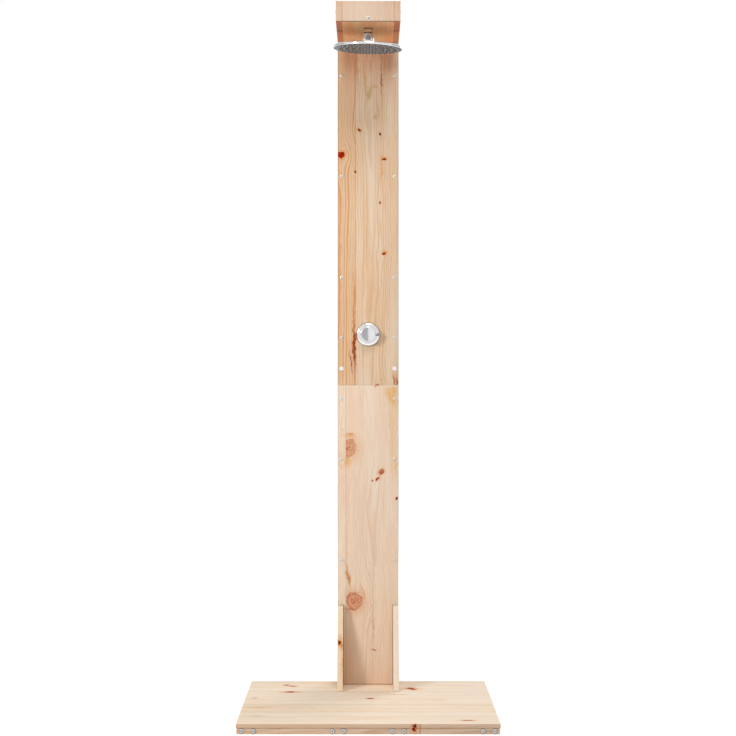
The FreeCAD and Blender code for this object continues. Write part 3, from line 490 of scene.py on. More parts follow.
def late_wood(grain, flow, lean):
    """How much late wood a point holds: a dark line at the end of each year."""
    tree = grain.tree
    side = minus(tree, flow, stave_value(grain, "middle"))
    side = times_plus(tree, grain.wave, WAVE_SWING, side)
    eddy = swing(tree, drawn_out(grain, 15.0, 4.2), 2.0, 0.5)
    side = times_plus(tree, eddy, EDDY_SWING, side)
    back = minus(tree, grain.deep, stave_value(grain, "depth"))
    back = times_plus(tree, grain.along, lean, back)
    far = do_sum(tree, "SQRT", plus(tree, times(tree, side, side), times(tree, back, back)))
    far = times_plus(tree, grain.ripple, RIPPLE_SWING, far)
    year = do_sum(tree, "DIVIDE", far, stave_value(grain, "ring"))
    part = do_sum(tree, "FRACT", year)
    line = times(tree, rise(tree, part, 0.30, 0.86), rise(tree, part, 0.90, 1.0, 1.0, 0.0))
    year_place = join_place(tree, do_sum(tree, "FLOOR", year), grain.shift, 0.0)
    good_year = noise(tree, year_place, 0.0, 0.5, 0.83)
    line = times(tree, line, rise(tree, good_year, 0.30, 0.72, 0.18, 1.0))
    line = times(tree, line, stave_value(grain, "dark"))
    faded = noise(tree, drawn_out(grain, 26.0, 3.2), 2.0, 0.5)
    return times(tree, line, rise(tree, faded, 0.34, 0.62, 0.30, 1.0))


def wood_colour(grain, summer, pale, warm, late):
    """The bare wood's colour: pale and warm clouds, darker late wood, and fine flecks."""
    tree = grain.tree
    cloud = noise(tree, drawn_out(grain, 20.0, 2.4), 3.0, 0.55)
    warmth = plus(tree, rise(tree, cloud, 0.30, 0.72), stave_value(grain, "tint"), clamp=True)
    colour = blend_colour(tree, warmth, (*pale, 1), (*warm, 1))
    colour = blend_colour(tree, summer, colour, (*late, 1))
    flecks = rise(tree, grain.fibre, 0.25, 0.80, 0.90, 1.07)
    return blend_colour(tree, 1.0, colour, join_place(tree, flecks, flecks, flecks), "MULTIPLY")


print("Year rings can be drawn")

# %% [markdown]
# Pine: streaks
#
# Streaks of one colour are summed and laid over the wood, a little stronger in some fibres than in
# others. That breaks them up along the grain, as resin does, which a plain band wouldn't. The same
# streaks also lay painted shade on some boards.

# %% Streaks
def lay_streaks(grain, colour, stains_and_shade):
    """Lays the streaks of each stain and each painted shade over the colour."""
    tree = grain.tree
    for streak_colour, marks in stains_and_shade:
        total = 0.0
        for mark in marks:
            values = dict(zip(STREAK_LABELS, mark), Across=grain.ragged, Along=grain.along, Sum=total)
            total = use_group(tree, streak_group, values)["Sum"]
        share = times(tree, total, rise(tree, grain.fibre, 0.30, 0.62, 0.55, 1.15), clamp=True)
        colour = blend_colour(tree, share, colour, (*streak_colour, 1))
    return colour


print("Streaks can be laid")

# %% [markdown]
# Pine: knots
#
# A knot covers what lies under it. It has a warm halo, a dark outline, and rings that run round its
# edge, and its wood goes from salmon for a fresh branch to nearly black for a dead one. Knots are
# also duller than the wood, or they would look milky.

# %% Knots
HALO = (0.70, 0.27, 0.085, 1)
KNOT_WOOD = ((0.0, (0.76, 0.39, 0.215, 1)), (0.5, (0.40, 0.024, 0.003, 1)), (0.7, (0.15, 0.020, 0.005, 1)),
             (1.0, (0.006, 0.003, 0.002, 1)))
RINGS_PER_METRE = 640.0
PINE_SHINE, KNOT_SHINE = 0.18, 0.02


def chain_knots(grain, knots):
    """Chains one group for each knot, and returns what the last one gives."""
    given = {"Flow": grain.across, "Edge": FAR_AWAY, "Heart": FAR_AWAY, "Tone": 0.5}
    for knot in knots:
        values = dict(zip(KNOT_LABELS, knot), Across=grain.ragged, Along=grain.uneven, **given)
        outputs = use_group(grain.tree, knot_group, values)
        given = {label: outputs[label] for label in given}
    return given


def knot_rings(grain, edge, heart):
    """How bright the knot's wood is: rings, a dark heart and a dark outline."""
    tree = grain.tree
    turns = times_plus(tree, grain.lumps, 19.0, times(tree, edge, RINGS_PER_METRE))
    rings = rise(tree, do_sum(tree, "SINE", turns), -0.1, 1.0, 1.05, 0.66)
    rings = times(tree, rings, rise(tree, heart, 0.02, 0.30, 0.55, 1.0))
    outline = do_sum(tree, "ABSOLUTE", plus(tree, edge, 0.0010))
    return times(tree, rings, rise(tree, outline, 0.0003, 0.0019, 0.52, 1.0))


def lay_knots(grain, colour, given, shader, knots_from):
    """Lays the knots over the colour, and dulls the surface inside them."""
    tree = grain.tree
    edge, heart, tone = given["Edge"], given["Heart"], given["Tone"]
    if knots_from > -FAR_AWAY:
        cut_off = do_sum(tree, "LESS_THAN", grain.across, knots_from)
        edge = times_plus(tree, cut_off, FAR_AWAY, edge)
        heart = times_plus(tree, cut_off, FAR_AWAY, heart)
    halo = rise(tree, times_plus(tree, grain.ripple, 0.6, heart), 0.8, 2.3, 1.0, 0.0)
    halo = times(tree, halo, rise(tree, tone, 0.05, 0.45, 0.35, 0.85))
    halo = times(tree, halo, rise(tree, tone, 0.75, 0.95, 1.0, 0.25))
    colour = blend_colour(tree, halo, colour, HALO)
    wood = tree.nodes.new("ShaderNodeValToRGB")
    stops = wood.color_ramp.elements
    stops[0].color, stops[1].color = KNOT_WOOD[0][1], KNOT_WOOD[-1][1]
    for position, stop_colour in KNOT_WOOD[1:-1]:
        stops.new(position).color = stop_colour
    tree.links.new(tone, wood.inputs[0])
    rings = knot_rings(grain, edge, heart)
    cooler = do_sum(tree, "POWER", rings, 2.0)
    ring_tone = join_place(tree, rings, cooler, cooler)
    knot_wood = blend_colour(tree, 1.0, wood.outputs[0], ring_tone, "MULTIPLY")
    fill = times(tree, rise(tree, edge, -0.0006, 0.0007, 1.0, 0.0), rise(tree, tone, 0.05, 0.40, 0.70, 1.0))
    tree.links.new(rise(tree, fill, 0.0, 1.0, PINE_SHINE, KNOT_SHINE), shader.inputs["Specular IOR Level"])
    return blend_colour(tree, fill, colour, knot_wood)


print("Knots can be laid")

# %% [markdown]
# Pine: lines and cuts
#
# A fine dark line marks each glue joint and each seam between two boards, and painted shade lies along
# a border. Where a seam runs over a face turned down it widens into painted shade. Wood cut across
# the grain drinks more light than a planed face, so ends are darker; the sides are darkened too, as
# painted shade. The undersides of the head box's cheeks are painted with the warm light that comes
# back from the soffit, and a pale band painted along one edge stands for a highlight.

# %% Lines and cuts
GLUE_LINE = (0.30, 0.15, 0.07, 1)
JOINT_AND_SHADE_LINE = (0.12, 0.035, 0.015, 1)
BORDER_SHADE = (0.17, 0.075, 0.035, 1)
PAINTED_EDGE_HIGHLIGHT = (0.98, 0.88, 0.72, 1)


def draw_lines(grain, colour, glue, seams, borders):
    """Glue lines between staves, seams across the board, and painted shade along its borders."""
    tree = grain.tree
    if glue:
        for before in grain.staves[:-1]:
            gap = distance_to(tree, grain.across, before["to"])
            colour = blend_colour(tree, rise(tree, gap, 0.0002, 0.0011, 0.55, 0.0), colour, GLUE_LINE)
    for line, half, strength in seams:
        gap = distance_to(tree, grain.along, line)
        # on faces turned down the seam widens into a band of painted shade
        gap = times(tree, gap, rise(tree, grain.facing["Z"], -0.9, -0.6, 0.14, 1.0))
        share = rise(tree, gap, half * 0.5, half * 1.3, strength, 0.0)
        colour = blend_colour(tree, share, colour, JOINT_AND_SHADE_LINE)
    for line, half, strength, up_to in borders:
        gap = distance_to(tree, grain.across, line)
        share = times(tree, rise(tree, gap, half * 0.3, half * 1.3, strength, 0.0),
                      do_sum(tree, "LESS_THAN", grain.along, up_to))
        colour = blend_colour(tree, share, colour, BORDER_SHADE)
    return colour


def shade_cuts(grain, colour, end_shade, side_shade_tint, below, highlight_band):
    """Darkens ends, paints shade on the sides and warm bounce light on an underside, and paints a highlight
    band along one edge.
    """
    tree = grain.tree
    turned_to = {"end": grain.axes[2], "side": grain.axes[0]}
    tints = {"end": (end_shade, end_shade * 0.97, end_shade * 0.94, 1), "side": (*side_shade_tint, 1)}
    # ends darken as end grain does; the sides darken as painted shade
    for cut, axis in turned_to.items():
        share = rise(tree, do_sum(tree, "ABSOLUTE", grain.facing[axis]), 0.6, 0.9)
        colour = blend_colour(tree, share, colour, tints[cut], "MULTIPLY")
    # painted warm bounce light on faces turned down
    if below:
        under = rise(tree, grain.facing["Z"], -0.9, -0.6, 1.0, 0.0)
        colour = blend_colour(tree, under, colour, (*below, 1), "MULTIPLY")
    # painted highlight: a pale band across the board between two heights
    if highlight_band:
        low, high = highlight_band
        inside = times(tree, do_sum(tree, "GREATER_THAN", grain.along, low),
                       do_sum(tree, "LESS_THAN", grain.along, high))
        colour = blend_colour(tree, inside, colour, PAINTED_EDGE_HIGHLIGHT)
    return colour


print("Lines and cuts can be drawn")

# %% [markdown]
# Pine: the whole material
#
# The steps are now put together. The three axes say how a board lies: across, into and along its
# grain. A knot is written as (across, along, half width, half length, slant, tone, push), a streak
# as (across, along, half width, half length, slant, strength), a seam as (along, half width,
# strength) and a border as (across, half width, strength, how far up).

# %% Pine material
UPRIGHT = ("X", "Y", "Z")      # panels: across the front, into the board, up
LENGTHWAYS = ("Y", "Z", "X")   # deck boards: front to back, down, left to right
SIDE_SHADE_TINT = (0.86, 0.80, 0.75)


def make_pine(name, axes, staves, colours, knots=(), stains_and_shade=(), lean=0.010, glue=True,
              knots_from=-FAR_AWAY, side_shade_tint=SIDE_SHADE_TINT, end_shade=0.74, below=None, seams=(), borders=(),
              highlight_band=None):
    """Pine with its grain along the last of the three axes."""
    material, tree, shader = new_material(name)
    grain = find_grain(tree, axes, staves)
    given = chain_knots(grain, knots)
    summer = late_wood(grain, given["Flow"], lean)
    colour = wood_colour(grain, summer, *colours)
    colour = lay_streaks(grain, colour, stains_and_shade)
    if knots:
        colour = lay_knots(grain, colour, given, shader, knots_from)
    colour = draw_lines(grain, colour, glue, seams, borders)
    colour = shade_cuts(grain, colour, end_shade, side_shade_tint, below, highlight_band)
    tree.links.new(colour, shader.inputs["Base Color"])
    tree.links.new(rise(tree, grain.fibre, 0.2, 0.8, 0.58, 0.74), shader.inputs["Roughness"])
    if not knots:
        shader.inputs["Specular IOR Level"].default_value = 0.15
    bumps(tree, shader, times_plus(tree, summer, 0.6, times(tree, grain.fibre, 0.5)), 0.35, 0.0006)
    return material


print("Pine can be made")

# %% [markdown]
# The upper panel
#
# The upper panel has two staves. The narrow left one was cut near the edge of its trunk and shows
# straight orange stripes, and the wide one shows long arches. Its knots and streaks are placed where
# the picture has them.

# %% Upper panel
# colours of the pale, the warm and the late wood
UPPER_COLOURS = ((0.78, 0.61, 0.45), (0.745, 0.5, 0.31), (0.6, 0.285, 0.105))
ORANGE = (0.66, 0.25, 0.055)
HONEY = (0.74, 0.43, 0.165)
DARK_RED = (0.25, 0.038, 0.008)
OLIVE = (0.52, 0.33, 0.125)
# warm brown: painted shade at the top of the upper panel, and a few marks on the deck and the fascia
SHADE_AND_MARK_BROWN = (0.46, 0.22, 0.115)

upper_pine = make_pine(
    "upper_panel_pine", UPRIGHT,
    [stave(to=-0.0425, middle=-0.3, depth=0.36, ring=0.0082, tint=1.0, dark=1.15, shift=3.7),
     stave(middle=0.002, depth=0.334, ring=0.0068, tint=-0.05, dark=0.52, shift=11.2)],
    UPPER_COLOURS,
    knots=[
        (-0.0905, 1.806, 0.0118, 0.0098, 0.0, 0.5, 0.9),
        (-0.0296, 1.887, 0.0042, 0.005, 0.5, 0.58, 0.8),
        (0.039, 1.877, 0.0044, 0.0044, 0.0, 1.0, 0.7),
        (0.0535, 1.793, 0.0052, 0.0036, -0.3, 0.58, 0.9),
        (-0.0425, 1.753, 0.0024, 0.0044, 0.0, 0.66, 0.6),
        (0.04, 1.645, 0.003, 0.0036, 0.0, 0.35, 0.8),
        (0.0533, 1.478, 0.006, 0.0038, -0.3, 0.5, 0.95),
        (0.0308, 1.0325, 0.0062, 0.0042, -0.6, 0.5, 0.5),
    ],
    stains_and_shade=[
        (OLIVE, [(-0.011, 2.062, 0.0045, 0.055, 0.1, 0.75), (0.004, 2.016, 0.006, 0.03, -0.25, 0.8),
                 (0.008, 2.105, 0.005, 0.02, 0.0, 0.7), (0.023, 2.036, 0.008, 0.006, 0.3, 0.6),
                 (0.025, 1.935, 0.0065, 0.01, 0.0, 0.7), (0.033, 1.96, 0.0024, 0.03, 0.1, 0.65),
                 (-0.038, 2.095, 0.004, 0.05, 0.05, 0.6)]),
        # painted shadow of the head box across the top of the panel
        (SHADE_AND_MARK_BROWN, [(-0.064, 2.15, 0.03, 0.08, 0.0, 0.85), (0.012, 2.16, 0.05, 0.075, 0.0, 0.75),
                  (-0.038, 2.12, 0.005, 0.12, 0.05, 0.35), (0.07, 2.15, 0.03, 0.11, 0.0, 0.7)]),
        (ORANGE, [(0.0545, 1.796, 0.012, 0.007, -0.2, 0.55), (0.056, 1.481, 0.0095, 0.007, -0.2, 0.6),
                  (-0.029, 1.888, 0.008, 0.008, 0.5, 0.45), (-0.0478, 1.31, 0.0036, 0.12, 0.01, 0.75),
                  (-0.0475, 1.175, 0.006, 0.07, 0.0, 0.95), (0.0455, 1.535, 0.0022, 0.06, 0.2, 0.42),
                  (0.045, 1.405, 0.0022, 0.09, -0.14, 0.36), (0.045, 1.755, 0.0034, 0.036, 0.0, 0.6),
                  (-0.0432, 1.77, 0.002, 0.08, 0.0, 0.4), (0.088, 1.055, 0.005, 0.028, 0.15, 0.7),
                  (0.096, 1.05, 0.005, 0.03, 0.0, 0.6), (-0.0985, 1.6, 0.0022, 0.6, 0.0, 0.6),
                  (-0.089, 1.9, 0.0016, 0.26, 0.0, 0.6), (-0.0935, 1.35, 0.0018, 0.3, 0.0, 0.65),
                  (-0.0845, 1.2, 0.0014, 0.15, 0.0, 0.4)]),
        (DARK_RED, [(-0.0468, 1.18, 0.0032, 0.056, 0.045, 1.4), (-0.0505, 1.14, 0.0022, 0.024, 0.1, 1.2),
                    (-0.056, 1.11, 0.0018, 0.036, 0.16, 1.05), (-0.0442, 1.135, 0.0018, 0.034, 0.0, 1.0),
                    (0.0455, 2.055, 0.0013, 0.085, 0.02, 0.8), (0.0445, 2.055, 0.002, 0.016, 0.0, 0.95),
                    (0.087, 1.052, 0.0022, 0.014, 0.15, 1.1), (0.0978, 1.046, 0.002, 0.016, 0.0, 1.1)]),
    ],
    borders=[(-0.1018, 0.0022, 0.55, FAR_AWAY), (0.1018, 0.0022, 0.5, FAR_AWAY)],
    seams=[(1.0336, 0.0012, 0.55)],
    lean=0.012)
wear(nodes["upper_front_panel"], upper_pine)
print("Upper panel:", len(upper_pine.node_tree.nodes), "nodes")

# %% [markdown]
# The lower panel
#
# The lower panel is paler and pinker. It has one large round knot near its foot, and a half knot
# that the glue line cuts off, because the stave was sawn through it before it was glued.

# %% Lower panel
LOWER_COLOURS = ((0.835, 0.668, 0.52), (0.81, 0.6, 0.44), (0.64, 0.39, 0.24))
PITCH = (0.55, 0.25, 0.09)
PINK = (0.78, 0.46, 0.34)
FOOT_SHADE_TAN = (0.66, 0.38, 0.22)
BARK = (0.36, 0.11, 0.05)
STAVE_JOINT = -0.0745

lower_pine = make_pine(
    "lower_panel_pine", UPRIGHT,
    [stave(to=STAVE_JOINT, middle=-0.16, depth=0.34, ring=0.005, tint=-0.25, dark=0.35, shift=5.1),
     stave(middle=0.012, depth=0.345, ring=0.0046, tint=-0.15, dark=0.4, shift=21.0)],
    LOWER_COLOURS,
    knots=[
        (-0.07, 0.825, 0.03, 0.03, 0.0, 0.12, 0.9),
        (0.044, 0.747, 0.0078, 0.0082, -0.4, 0.27, 0.8),
        (0.0425, 0.7465, 0.0022, 0.0024, 0.0, 0.66, 0.1),
        (0.031, 0.72, 0.0042, 0.006, -0.4, 0.44, 0.7),
        (0.0142, 0.715, 0.0024, 0.0026, 0.0, 0.8, 0.6),
        (0.0975, 0.656, 0.0032, 0.0048, 0.0, 0.62, 0.6),
        (-0.047, 0.311, 0.0275, 0.0285, 0.1, 0.15, 0.85),
        (0.0178, 0.147, 0.0058, 0.0018, -0.2, 0.34, 0.6),
        (0.0308, 1.0325, 0.0062, 0.0042, -0.6, 0.5, 0.5),
    ],
    stains_and_shade=[
        (HONEY, [(0.075, 0.998, 0.012, 0.03, 0.45, 1.0), (0.088, 1.018, 0.011, 0.018, 0.4, 0.85),
                 (0.0755, 0.88, 0.003, 0.13, 0.02, 0.65), (0.0835, 0.87, 0.003, 0.15, 0.0, 0.75),
                 (0.093, 0.88, 0.003, 0.15, 0.0, 0.6), (0.093, 0.76, 0.005, 0.03, 0.0, 0.6),
                 (-0.07, 0.778, 0.012, 0.018, 0.0, 0.9), (-0.062, 0.866, 0.014, 0.007, 0.0, 0.85),
                 (-0.072, 0.56, 0.005, 0.22, 0.0, 0.16)]),
        (PITCH, [(-0.062, 0.871, 0.011, 0.003, -0.25, 1.0), (-0.021, 0.352, 0.0019, 0.02, 0.35, 0.95),
                 (-0.069, 0.405, 0.0036, 0.036, 0.126, 1.0), (-0.0635, 0.385, 0.0044, 0.018, 0.1, 0.9),
                 (-0.015, 0.322, 0.0017, 0.018, 0.0, 0.85)]),
        (PINK, [(-0.068, 0.64, 0.006, 0.13, 0.0, 0.5), (-0.058, 0.96, 0.008, 0.08, 0.0, 0.35),
                (-0.07, 0.48, 0.004, 0.06, 0.0, 0.35), (0.09, 0.5, 0.005, 0.12, 0.0, 0.3)]),
        # painted shade: darker low on the left by the fin, and along the foot
        (FOOT_SHADE_TAN, [(-0.07, 0.09, 0.018, 0.13, 0.0, 0.5), (0.02, 0.03, 0.09, 0.045, 0.0, 0.3)]),
        (BARK, [(-0.062, 0.838, 0.0022, 0.0026, 0.0, 1.0), (-0.044, 0.338, 0.012, 0.003, -0.4, 0.8),
                (-0.044, 0.328, 0.012, 0.0024, 0.5, 0.95), (-0.03, 0.304, 0.002, 0.013, 0.2, 0.75),
                (-0.066, 0.312, 0.002, 0.014, -0.2, 0.8), (-0.04, 0.318, 0.005, 0.005, 0.0, 0.85),
                (-0.06, 0.284, 0.01, 0.0026, 0.3, 0.95), (0.016, 0.25, 0.0014, 0.17, 0.0, 0.45),
                (0.02, 0.42, 0.0012, 0.05, 0.0, 0.35)]),
    ],
    borders=[(-0.0824, 0.0013, 0.8, 0.3), (0.0824, 0.0013, 0.8, 0.3),
             (-0.1018, 0.002, 0.4, FAR_AWAY), (0.1018, 0.002, 0.4, FAR_AWAY)],
    # the foot's seam is partly the joint with the deck and partly painted contact shadow
    seams=[(0.0318, 0.0016, 0.8)],
    lean=0.01, knots_from=STAVE_JOINT,
    # painted highlight along the panel's top edge, under the joint
    highlight_band=(1.0318, 1.034))
wear(nodes["lower_front_panel"], lower_pine)
print("Lower panel:", len(lower_pine.node_tree.nodes), "nodes")

# %% [markdown]
# Deck boards
#
# The deck's boards run from left to right, and each comes from its own trunk, so each gets a
# material with other rings. A soft shade along both long edges keeps the joints readable. The knots
# and streaks that the picture shows are listed by board.

# %% Knots and streaks in the deck
# partly the deck's paler wood, partly painted light: brighter than pine, for the light on the deck's top
DECK_COLOURS_WITH_TOP_LIGHT = ((0.97, 0.82, 0.66), (0.94, 0.745, 0.545), (0.78, 0.5, 0.29))
deck_knots = {
    1: [(-0.2981, 0.2982, 0.005, 0.013, 0.0, 0.4, 0.7), (-0.35, 0.139, 0.0032, 0.0045, 0.0, 0.56, 0.5)],
    2: [],
    3: [],
    4: [(0.0512, -0.3653, 0.004, 0.005, 0.0, 0.62, 0.6), (0.0446, 0.0048, 0.006, 0.009, 0.0, 0.5, 0.8),
        (0.154, -0.2557, 0.008, 0.013, 0.0, 0.48, 0.9)],
    5: [(0.2766, -0.2712, 0.007, 0.008, 0.0, 0.3, 0.7), (0.2551, -0.2501, 0.006, 0.011, 0.0, 0.32, 0.7),
        (0.218, 0.14, 0.009, 0.012, 0.1, 0.46, 0.7), (0.196, 0.15, 0.0055, 0.01, 0.1, 0.46, 0.7)],
}
deck_stains = {
    1: [(ORANGE, [(-0.2981, 0.2982, 0.008, 0.03, 0.0, 0.55), (-0.35, 0.1385, 0.004, 0.0095, 0.0, 0.85)]),
        (DARK_RED, [(-0.35, 0.155, 0.004, 0.0016, 0.0, 0.7), (-0.2981, 0.2982, 0.003, 0.012, 0.0, 0.5)])],
    2: [(ORANGE, [(-0.236, -0.3365, 0.0075, 0.036, 0.0, 0.55)]),
        (DARK_RED, [(-0.236, -0.3365, 0.0036, 0.011, 0.0, 0.85)])],
    3: [(HONEY, [(-0.101, -0.3408, 0.0085, 0.05, 0.0, 0.75)]),
        (ORANGE, [(-0.104, -0.178, 0.0035, 0.012, 0.0, 0.35), (-0.101, 0.2877, 0.004, 0.012, 0.0, 0.4)]),
        (SHADE_AND_MARK_BROWN, [(-0.1663, -0.1359, 0.003, 0.011, 0.0, 0.45),
                  (-0.177, -0.037, 0.003, 0.009, 0.0, 0.35)])],
    4: [(ORANGE, [(0.1119, 0.0943, 0.0048, 0.03, 0.0, 0.55), (0.0446, 0.0048, 0.0085, 0.018, 0.0, 0.45),
                  (0.0116, 0.2235, 0.0042, 0.02, 0.0, 0.45), (-0.0243, 0.0761, 0.0045, 0.024, 0.0, 0.35),
                  (0.154, -0.2557, 0.013, 0.033, 0.0, 1.0)]),
        (DARK_RED, [(0.1119, 0.096, 0.0026, 0.024, 0.0, 0.6),
                    (0.154, -0.2557, 0.0045, 0.012, 0.0, 0.6)])],
    5: [(ORANGE, [(0.212, 0.144, 0.017, 0.032, 0.1, 0.55), (0.265, -0.26, 0.012, 0.02, 0.6, 0.35)]),
        (HONEY, [(0.31, -0.18, 0.009, 0.26, 0.0, 0.3)])],
}
print("Deck knots:", sum(map(len, deck_knots.values())))

# %% [markdown]
# The two staves of a board are cut from either side of one trunk's middle, so the loop has only to
# say where that middle lies, and the rings differ from board to board on their own.

# %% Deck boards
deck_trunks = {  # how far the trunk's middle lies off the board's, and how warm its two staves are
    1: (-0.02, -0.3, -0.1),
    2: (0.03, -0.5, -0.4),
    3: (-0.01, 0.25, -0.1),
    4: (0.02, -0.25, -0.4),
    5: (-0.03, -0.1, 0.0),
}
for number, (off_middle, front_tint, rear_tint) in deck_trunks.items():
    low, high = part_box(f"deck_board_{number}")
    middle = (low.y + high.y) / 2 + off_middle
    shift = 3.1 * number
    pine = make_pine(
        f"deck_pine_{number}", LENGTHWAYS,
        [stave(to=low.y + (high.y - low.y) * 0.47, middle=middle - 0.05, depth=-0.045, ring=0.004,
               tint=front_tint, dark=0.36, shift=shift),
         stave(middle=middle + 0.04, depth=-0.06, ring=0.0044,
               tint=rear_tint, dark=0.36, shift=shift + 1.7)],
        DECK_COLOURS_WITH_TOP_LIGHT, knots=deck_knots[number], stains_and_shade=deck_stains[number],
        borders=[(edge, 0.0036, 0.16, FAR_AWAY) for edge in (low.y, high.y)],
        # painted shade on the front and back edges of each deck board
        lean=0.014, glue=False, side_shade_tint=(0.8, 0.68, 0.6))
    wear(nodes[f"deck_board_{number}"], pine)
print("Deck boards have their pine")

# %% [markdown]
# The rest of the timber
#
# The front rail under the deck is a little darker, painted with the shade on the low front faces. The
# boards of the head box are like the panels, and the soffit is the warmest of them, with the warm
# light that comes back from below painted into its colour. Each piece is listed with the way that its
# grain runs, how warm it is and how dark its rings are.

# %% Rails, joists, fins and the head box
plain_timber = {  # way of the grain, tint, dark
    "front_rail": ("X", 0.3, 0.6),
    "back_rail_left": ("X", 0.2, 0.5),
    "back_rail_right": ("X", 0.3, 0.5),
    "joist_1": ("Y", 0.1, 0.5),
    "joist_2": ("Y", 0.3, 0.5),
    "joist_3": ("Y", 0.2, 0.4),
    "joist_4": ("Y", 0.0, 0.5),
    "lower_side_rail_left": ("Z", 0.1, 0.6),
    "lower_side_rail_right": ("Z", 0.0, 0.6),
    "upper_side_rail_left": ("Z", 0.3, 0.7),
    "upper_side_rail_right": ("Z", 0.2, 0.6),
    "splice_block_left": ("Z", 0.0, 0.5),
    "splice_block_right": ("Z", 0.2, 0.5),
    "cross_batten_1": ("X", 0.2, 0.6),
    "cross_batten_2": ("X", 0.0, 0.6),
    "cross_batten_3": ("X", 0.3, 0.6),
    "fin_left": ("Z", 0.0, 0.4),
    "fin_right": ("Z", -0.3, 0.3),
    "roof_board": ("Y", 0.0, 0.5),
    "head_back_board": ("X", 0.1, 0.5),
    "soffit_board": ("Y", 0.1, 0.45),
    "fascia": ("Z", -0.2, 0.5),
    "front_cheek_left": ("Y", 0.2, 0.5),
    "front_cheek_right": ("Y", 0.1, 0.5),
    "rear_cheek_left": ("Y", 0.0, 0.6),
    "rear_cheek_right": ("Y", 0.3, 0.5),
    "cheek_splices": ("Y", 0.2, 0.5),
}
grain_axes = {"X": ("Z", "Y", "X"), "Y": ("X", "Z", "Y"), "Z": ("X", "Y", "Z")}
print(len(plain_timber), "pieces of plain timber are listed")

# %% [markdown]
# Most of these pieces share one set of colours. Two more lists say what a piece has of its own: its
# colours, and the marks that can be seen in the picture. The trunk's middle and the ring width then
# change a little from piece to piece, so that no two look alike.

# %% Colours and marks of their own
PLAIN_COLOURS = ((0.8, 0.62, 0.455), (0.775, 0.54, 0.345), (0.61, 0.33, 0.15))
CHEEK_COLOURS = ((0.74, 0.56, 0.43), (0.71, 0.49, 0.34), (0.55, 0.3, 0.17))
colours_of = {
    # painted warm bounce light in the soffit's colours
    "soffit_board": ((1.0, 0.7, 0.39), (1.0, 0.47, 0.21), (0.92, 0.3, 0.11)),
    "fascia": ((0.7, 0.53, 0.4), (0.67, 0.47, 0.33), (0.53, 0.32, 0.2)),
    "front_cheek_left": CHEEK_COLOURS,
    "front_cheek_right": CHEEK_COLOURS,
    # painted shade on the low front faces
    "front_rail": ((0.72, 0.55, 0.42), (0.69, 0.48, 0.33), (0.52, 0.3, 0.17)),
    "fin_left": ((0.87, 0.72, 0.54), (0.85, 0.65, 0.43), (0.7, 0.43, 0.22)),
    "fin_right": ((0.88, 0.75, 0.61), (0.86, 0.69, 0.52), (0.74, 0.5, 0.32)),
}
marks_of = {
    "front_rail": dict(
        knots=[(0.012, 0.1385, 0.004, 0.005, 0.0, 0.56, 0.8)],
        stains_and_shade=[(ORANGE, [(0.012, 0.1385, 0.013, 0.01, 0.0, 0.85)]),
                (DARK_RED, [(0.01, 0.155, 0.02, 0.0016, 0.0, 0.75)])]),
    "fin_left": dict(
        knots=[(-0.096, 0.182, 0.0046, 0.007, 0.0, 0.66, 0.8)],
        stains_and_shade=[(ORANGE, [(-0.09, 0.176, 0.0065, 0.016, 0.0, 0.9), (-0.094, 0.2, 0.005, 0.009, 0.0, 0.6),
                          (-0.085, 0.125, 0.0022, 0.05, 0.0, 0.6)]),
                (DARK_RED, [(-0.0885, 0.178, 0.0016, 0.008, 0.5, 0.8),
                            (-0.098, 0.184, 0.003, 0.005, 0.0, 0.7)])]),
    "fascia": dict(
        stains_and_shade=[(SHADE_AND_MARK_BROWN, [(0.0314, 2.21, 0.0013, 0.3, 0.0, 0.3), (-0.045, 2.21, 0.004, 0.3, 0.0, 0.12),
                          (0.062, 2.21, 0.016, 0.3, 0.0, 0.16)])],
        borders=[(-0.0822, 0.0016, 0.75, FAR_AWAY), (0.0822, 0.0016, 0.75, FAR_AWAY)]),
    # cheeks: painted shade where the seam widens on the underside, and painted warm bounce light there
    "front_cheek_left": dict(seams=[(0.0852, 0.001, 0.8)], end_shade=0.92, below=(1.12, 0.6, 0.4)),
    "front_cheek_right": dict(seams=[(0.0852, 0.001, 0.8)], end_shade=0.92, below=(1.1, 0.56, 0.36)),
    "rear_cheek_left": dict(seams=[(0.086, 0.001, 0.8)], below=(1.12, 0.66, 0.46)),
    "rear_cheek_right": dict(seams=[(0.086, 0.001, 0.8)], below=(1.12, 0.66, 0.46)),
}
for order, (name, (way, tint, dark)) in enumerate(plain_timber.items()):
    low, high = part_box(name)
    axes = ("Z", "X", way) if "_cheek_" in name else grain_axes[way]
    wide, deep = ("XYZ".index(axis) for axis in axes[:2])
    trunk = stave(middle=(low[wide] + high[wide]) / 2 + 0.012 * (order % 3 - 1),
                  depth=low[deep] + 0.055 + 0.011 * (order % 4),
                  ring=0.004 + 0.0004 * (order % 3), shift=4.3 * order + 2.0, tint=tint, dark=dark)
    wear(nodes[name], make_pine(f"pine_{name}", axes, [trunk], colours_of.get(name, PLAIN_COLOURS),
                                lean=0.016, **marks_of.get(name, {})))
print(len(plain_timber), "more pieces of timber have their pine")

# %% [markdown]
# Metal, plastic and rubber
#
# The valve and the rain head are chromed: a mirror, a little dulled by fingers and lime. The domed
# nut is a softer, paler chrome. The screws are zinc plated and duller. The fittings behind the panel
# are brass, and the pipe is drawn steel with fine marks along it. Painted shade darkens recesses and
# rims where a piece carries it in its vertices.

# %% Finish with blotches and painted shade
PAINTED_SHADE_COLOUR = (0.035, 0.030, 0.026, 1)


